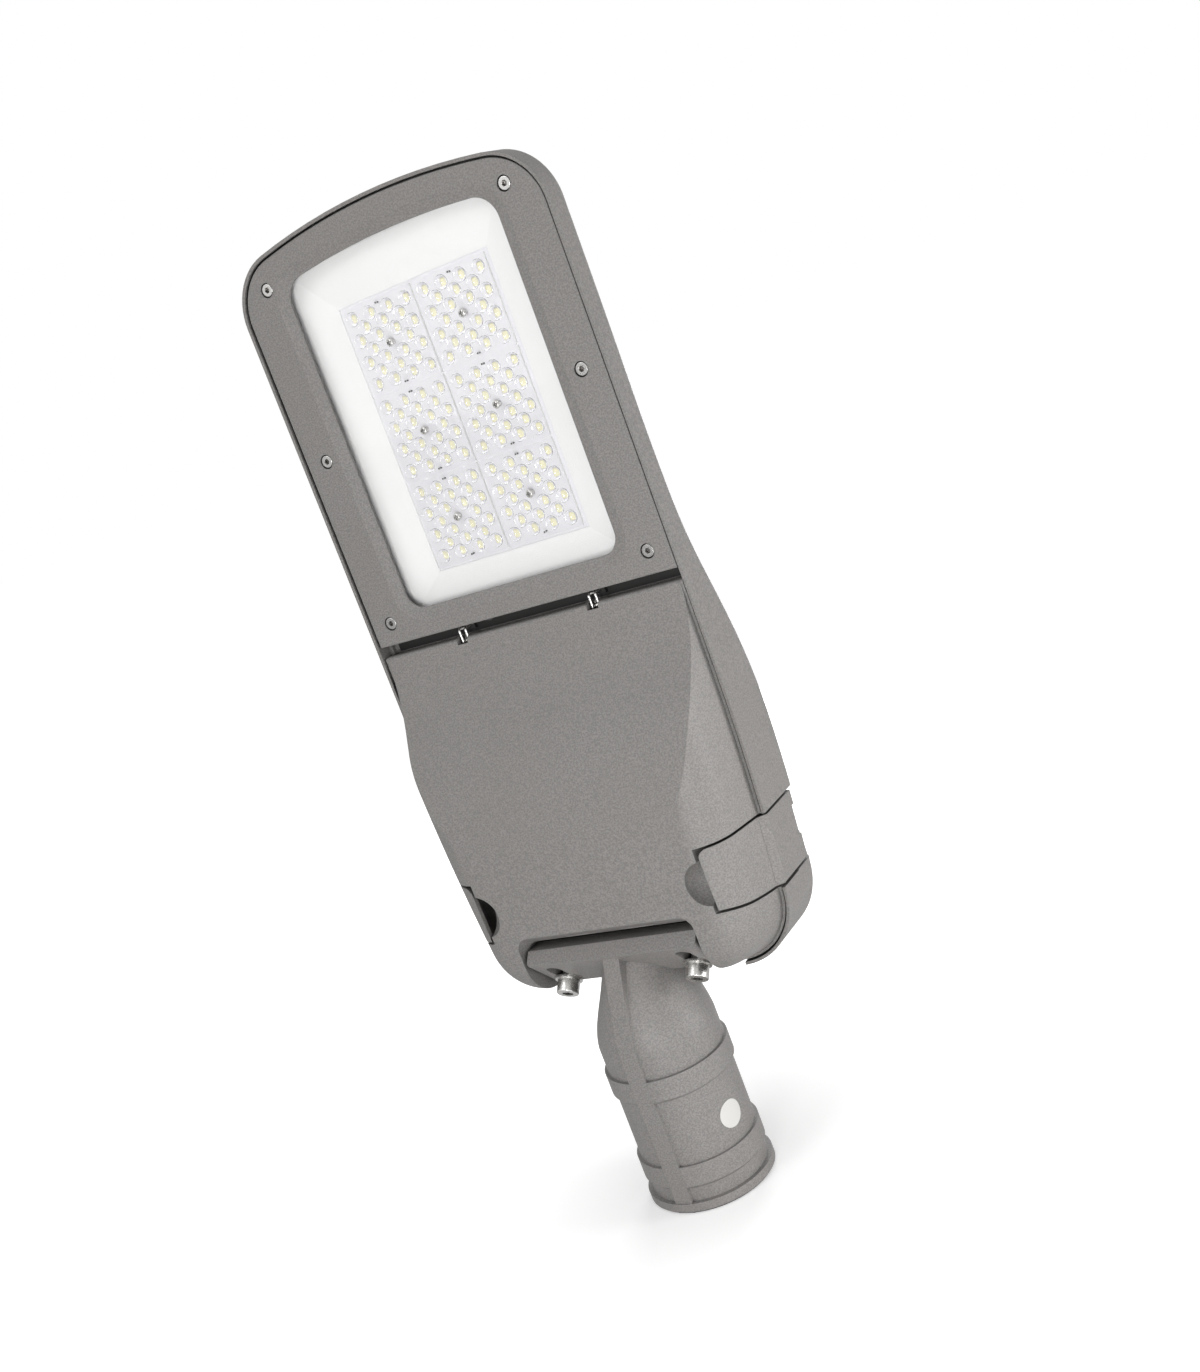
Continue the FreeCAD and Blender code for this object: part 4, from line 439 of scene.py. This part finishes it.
PIN_PLACES = (-22.3 * MM, 22.3 * MM)
PIN_HOLE_R = 0.6 * MM
PIN_HOLE_SEGMENTS = 12
PIN_FIT = 0.15 * MM
PIN_R = PIN_HOLE_R - PIN_FIT
PIN_SEGMENTS = 16
PIN_SHOULDER = 0.1 * MM
PIN_STANDS_OUT = 0.05 * MM
PIN_TIP_SHARE = 0.8

SCREW_HOLE_R = 1.6 * MM
SCREW_HOLE_SEGMENTS = 20
SCREW_HEAD_R = 2.4 * MM
SCREW_HEAD_H = 1.5 * MM
SCREW_SHANK_R = 1.5 * MM
SCREW_SEGMENTS = 64
# Shares of the head's radius, close together where the recess needs them
HEAD_SHARES = [1.0, 0.98, 0.92] + [0.85 - 0.05 * i for i in range(16)]
HEAD_ROUNDNESS = 2.6
RECESS_DEPTH = 0.9 * MM
RECESS_HALF_WIDTH = 0.5 * MM
RECESS_SIDE = 0.12 * MM
RECESS_REACH = 1.45 * MM
RECESS_END = 0.25 * MM

LENS_NODES = ["lens_plate_%d" % number for number in range(1, 7)]
LENS_BOXES = [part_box(node) for node in LENS_NODES]
MODULE_PLACES = [((low[0] + high[0]) / 2, (low[1] + high[1]) / 2) for low, high in LENS_BOXES]
DOME_TOP_Z = LENS_BOXES[0][0][2]
LENS_FACE_Z = DOME_TOP_Z + DOME_HEIGHT
LENS_BACK_Z = LENS_FACE_Z + PLATE_T
CHIP_FACE_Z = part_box("led_chips")[0][2]
BOARD_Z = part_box("led_board")[0][2]
SCREW_TIP_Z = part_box("module_screws")[1][2]


def chip_places():
    """Places of the chips in one module: staggered rows, with the middle left to the screw."""
    places = []
    for row, count in enumerate(CHIP_ROWS):
        y = (row - (len(CHIP_ROWS) - 1) / 2) * CHIP_PITCH / 2
        step = 2 * CHIP_PITCH if count == 2 else CHIP_PITCH
        places += [((i - (count - 1) / 2) * step, y) for i in range(count)]
    return places


def lens_optic(number):
    """One module's moulded plate: a dome over each chip, with a solid foot that leads the light in."""
    low, high = LENS_BOXES[number]
    half = (high[0] - low[0]) / 2
    cx, cy = MODULE_PLACES[number]
    centres = [(cx + x, cy + y) for x, y in chip_places()]
    shape = bmesh.new()
    walls, openings = [], []
    for z in (LENS_FACE_Z, LENS_BACK_Z):
        rim = outline(shape, (cx, cy), rounded_square(half, PLATE_CORNER_R, 3), z)
        holes = [ring(shape, (cx, cy), SCREW_HOLE_R, z, SCREW_HOLE_SEGMENTS)]
        holes += [ring(shape, (cx, cy + y), PIN_HOLE_R, z, PIN_HOLE_SEGMENTS) for y in PIN_PLACES]
        domes = [ring(shape, centre, DOME_R, z, DOME_SEGMENTS) for centre in centres]
        edges = [shape.edges.new(ends) for loop in [rim] + holes + domes for ends in neighbours(loop)]
        bmesh.ops.triangle_fill(shape, use_beauty=True, use_dissolve=False, edges=edges)
        walls.append([rim] + holes)
        openings.append(domes)
    for first, second in zip(*walls):
        band(shape, first, second, smooth=True)
    curve_r = (DOME_R ** 2 + DOME_HEIGHT ** 2) / (2 * DOME_HEIGHT)
    for centre, base in zip(centres, openings[0]):
        loops = [base]
        for step in DOME_STEPS:
            radius = DOME_R * step
            lift = math.sqrt(curve_r ** 2 - radius ** 2) - (curve_r - DOME_HEIGHT)
            loops.append(ring(shape, centre, radius, LENS_FACE_Z - lift, DOME_SEGMENTS))
        bands(shape, loops, smooth=True)
        cap(shape, loops[-1], DOME_TOP_Z, smooth=True)
    for centre, base in zip(centres, openings[1]):
        foot = ring(shape, centre, FOOT_R, CHIP_FACE_Z - FOOT_GAP, DOME_SEGMENTS)
        band(shape, base, foot, smooth=True)
        cap(shape, foot, CHIP_FACE_Z - FOOT_GAP)
    piece("lens_optic_%d" % (number + 1), shape, "clear_lens", [LENS_NODES[number]])


def led_packages():
    """White moulded packages on the board, each with a crowned pad of phosphor."""
    bodies = bmesh.new()
    pads = bmesh.new()
    half = CHIP_SIZE / 2
    pad_z = CHIP_FACE_Z + PHOSPHOR_CROWN
    package_rows = ((0.0, BOARD_Z), (0.0, pad_z + PACKAGE_CHAMFER), (PACKAGE_CHAMFER, pad_z))
    centres = [(cx + dx, cy + dy) for cx, cy in MODULE_PLACES for dx, dy in chip_places()]
    for centre in centres:
        loops = [outline(bodies, centre, rounded_square(half - inset, PACKAGE_CORNER_R, 2), z)
                 for inset, z in package_rows]
        bands(bodies, loops)
        cap(bodies, loops[-1], pad_z)
        cap(bodies, loops[0], BOARD_Z)
        loops = [outline(pads, centre, rounded_square((half - PHOSPHOR_MARGIN) * share,
                                                      PHOSPHOR_CORNER_R * share, 4),
                         pad_z - PHOSPHOR_CROWN * lift) for share, lift in PHOSPHOR_PROFILE]
        bands(pads, loops, smooth=True)
        cap(pads, loops[-1], CHIP_FACE_Z, smooth=True)
        cap(pads, loops[0], pad_z)
    piece("led_package_bodies", bodies, "white_board", [])
    piece("led_phosphor_pads", pads, "led_phosphor", ["led_chips"])


def ramp(value, width):
    """From zero to one over this width."""
    return min(max(value / width, 0.0), 1.0)


def cross_head(shape, centre, top_z):
    """Pan head with a cross recess pressed into its crown, on a plain shank."""
    loops = []
    for share in HEAD_SHARES:
        crown = SCREW_HEAD_H * math.sqrt(max(0.0, 1 - share ** HEAD_ROUNDNESS))
        loop = ring(shape, centre, SCREW_HEAD_R * share, 0.0, SCREW_SEGMENTS)
        for point in loop:
            across, along = sorted((abs(point.co.x - centre[0]), abs(point.co.y - centre[1])))
            side = ramp(RECESS_HALF_WIDTH - across, RECESS_SIDE)
            end = ramp(RECESS_REACH - along, RECESS_END)
            point.co.z = top_z + SCREW_HEAD_H - crown + RECESS_DEPTH * side * end
        loops.append(loop)
    bands(shape, loops, smooth=True)
    cap(shape, loops[-1], top_z + RECESS_DEPTH, smooth=True)
    shank = ring(shape, centre, SCREW_SHANK_R, top_z + SCREW_HEAD_H, SCREW_SEGMENTS)
    tip = ring(shape, centre, SCREW_SHANK_R, SCREW_TIP_Z, SCREW_SEGMENTS)
    bands(shape, [loops[0], shank, tip])
    cap(shape, tip, SCREW_TIP_Z)


def locating_pin(shape, centre):
    """Round pin with a chamfered tip that just stands out of the lens plate."""
    rows = ((PIN_R, BOARD_Z), (PIN_R, LENS_FACE_Z + PIN_SHOULDER),
            (PIN_TIP_SHARE * PIN_R, LENS_FACE_Z - PIN_STANDS_OUT))
    loops = [ring(shape, centre, radius, z, PIN_SEGMENTS) for radius, z in rows]
    bands(shape, loops, smooth=True)
    cap(shape, loops[0], rows[0][1])
    cap(shape, loops[-1], rows[-1][1])


def module_fixings():
    """Cross-head screws through the modules, and the nylon pins that place each plate."""
    screws = bmesh.new()
    pins = bmesh.new()
    for cx, cy in MODULE_PLACES:
        cross_head(screws, (cx, cy), LENS_FACE_Z - SCREW_HEAD_H)
        for y in PIN_PLACES:
            locating_pin(pins, (cx, cy + y))
    piece("module_screw_heads", screws, "stainless_steel", ["module_screws"])
    piece("module_locating_pins", pins, "black_plastic", [])


for module in range(len(LENS_NODES)):
    lens_optic(module)
led_packages()
module_fixings()


# Floor, world and lamps

FLOOR_Y = cad_box[0][1] - 0.2 * MM
FLOOR_REACH = 30.0
# Distances from the foot of the light, and strengths at them
GLOW_STARTS, GLOW_IS_FULL = 0.05, 0.24
LEAST_GLOW, FULL_GLOW = 0.3, 0.72
WORLD_LEVEL = 0.4
LAMP_HEAD_MIDDLE = (0.0, 0.3, 0.0)
# Name, place, width, power in watts and the point that it faces
SOFTBOXES = (
    ("softbox_nose", (0.4, 1.2, -0.95), 0.6, 4.2, LAMP_HEAD_MIDDLE),
    ("softbox_front", (-0.4, 0.24, -1.2), 0.45, 8.5, LAMP_HEAD_MIDDLE),
    ("softbox_right", (-1.1, 0.22, 0.25), 0.4, 7.0, LAMP_HEAD_MIDDLE),
    ("softbox_back", (0.3, 0.3, 1.1), 0.5, 8.0, LAMP_HEAD_MIDDLE),
    # Faces the floor, whose white then lights the lower corners from below
    ("softbox_floor", (-0.36, 0.1, -0.3), 0.3, 1.6, (-0.36, 0.0, -0.3)),
)


def floor_paper():
    """Matt white paper that shows from its front only. To the camera it also glows, less near the foot of
    the light, so that the light's shadow stays while the rest turns plain white."""
    made, tree = new_material("pale_floor_paper")
    matt = add(tree, "ShaderNodeBsdfDiffuse", {"Color": linear("#E8E8E8")})
    point = add(tree, "ShaderNodeTexCoord").outputs["Object"]
    away = add(tree, "ShaderNodeVectorMath", {"operation": "LENGTH", 0: point}).outputs["Value"]
    glow = add(tree, "ShaderNodeMapRange", {
        "Value": away, "From Min": GLOW_STARTS, "From Max": GLOW_IS_FULL,
        "To Min": LEAST_GLOW, "To Max": FULL_GLOW})
    path = add(tree, "ShaderNodeLightPath")
    shine = add(tree, "ShaderNodeMath", {
        "operation": "MULTIPLY", 0: path.outputs["Is Camera Ray"], 1: glow})
    light = add(tree, "ShaderNodeEmission", {"Strength": shine})
    front = add(tree, "ShaderNodeAddShader", {0: matt, 1: light})
    back = add(tree, "ShaderNodeBsdfTransparent")
    backfacing = add(tree, "ShaderNodeNewGeometry").outputs["Backfacing"]
    sheet = add(tree, "ShaderNodeMixShader", {0: backfacing, 1: front, 2: back})
    add(tree, "ShaderNodeOutputMaterial", {"Surface": sheet})
    return made


def pale_floor():
    """The wide flat floor on which the light stands on its spigot, as it does in the photograph."""
    signs = ((-1, -1), (-1, 1), (1, 1), (1, -1))
    corners = [(x * FLOOR_REACH, FLOOR_Y, z * FLOOR_REACH) for x, z in signs]
    mesh = bpy.data.meshes.new("floor")
    mesh.from_pydata(corners, [], [(0, 1, 2, 3)])
    mesh.materials.append(floor_paper())
    sheet = bpy.data.objects.new("floor", mesh)
    bpy.context.scene.collection.objects.link(sheet)


def set_world():
    """White all round: full white to the eye and in mirrors and glass, dimmer as light on matt surfaces."""
    world = bpy.data.worlds.new("white_studio")
    world.use_nodes = True
    tree = world.node_tree
    tree.nodes.clear()
    path = add(tree, "ShaderNodeLightPath")
    seen = add(tree, "ShaderNodeMath", {
        "operation": "MAXIMUM", 0: path.outputs["Is Camera Ray"], 1: path.outputs["Is Glossy Ray"]})
    shown = add(tree, "ShaderNodeMath", {
        "operation": "MAXIMUM", 0: seen, 1: path.outputs["Is Transmission Ray"]})
    level = add(tree, "ShaderNodeMapRange", {"Value": shown, "To Min": WORLD_LEVEL, "To Max": 1.0})
    sky = add(tree, "ShaderNodeBackground", {"Color": linear("#FFFFFF"), "Strength": level})
    add(tree, "ShaderNodeOutputWorld", {"Surface": sky})
    bpy.context.scene.world = world


def softbox(name, place, size, power, aim):
    """Square lamp at a place, turned to face the aim."""
    lamp = bpy.data.lights.new(name, "AREA")
    lamp.shape = "SQUARE"
    lamp.size = size
    lamp.energy = power
    box = bpy.data.objects.new(name, lamp)
    place = Vector(place)
    turn = (place - Vector(aim)).to_track_quat("Z", "Y")
    box.matrix_world = Matrix.Translation(place) @ turn.to_matrix().to_4x4()
    bpy.context.scene.collection.objects.link(box)


pale_floor()
set_world()
for settings in SOFTBOXES:
    softbox(*settings)

bpy.context.scene.view_settings.view_transform = "Standard"
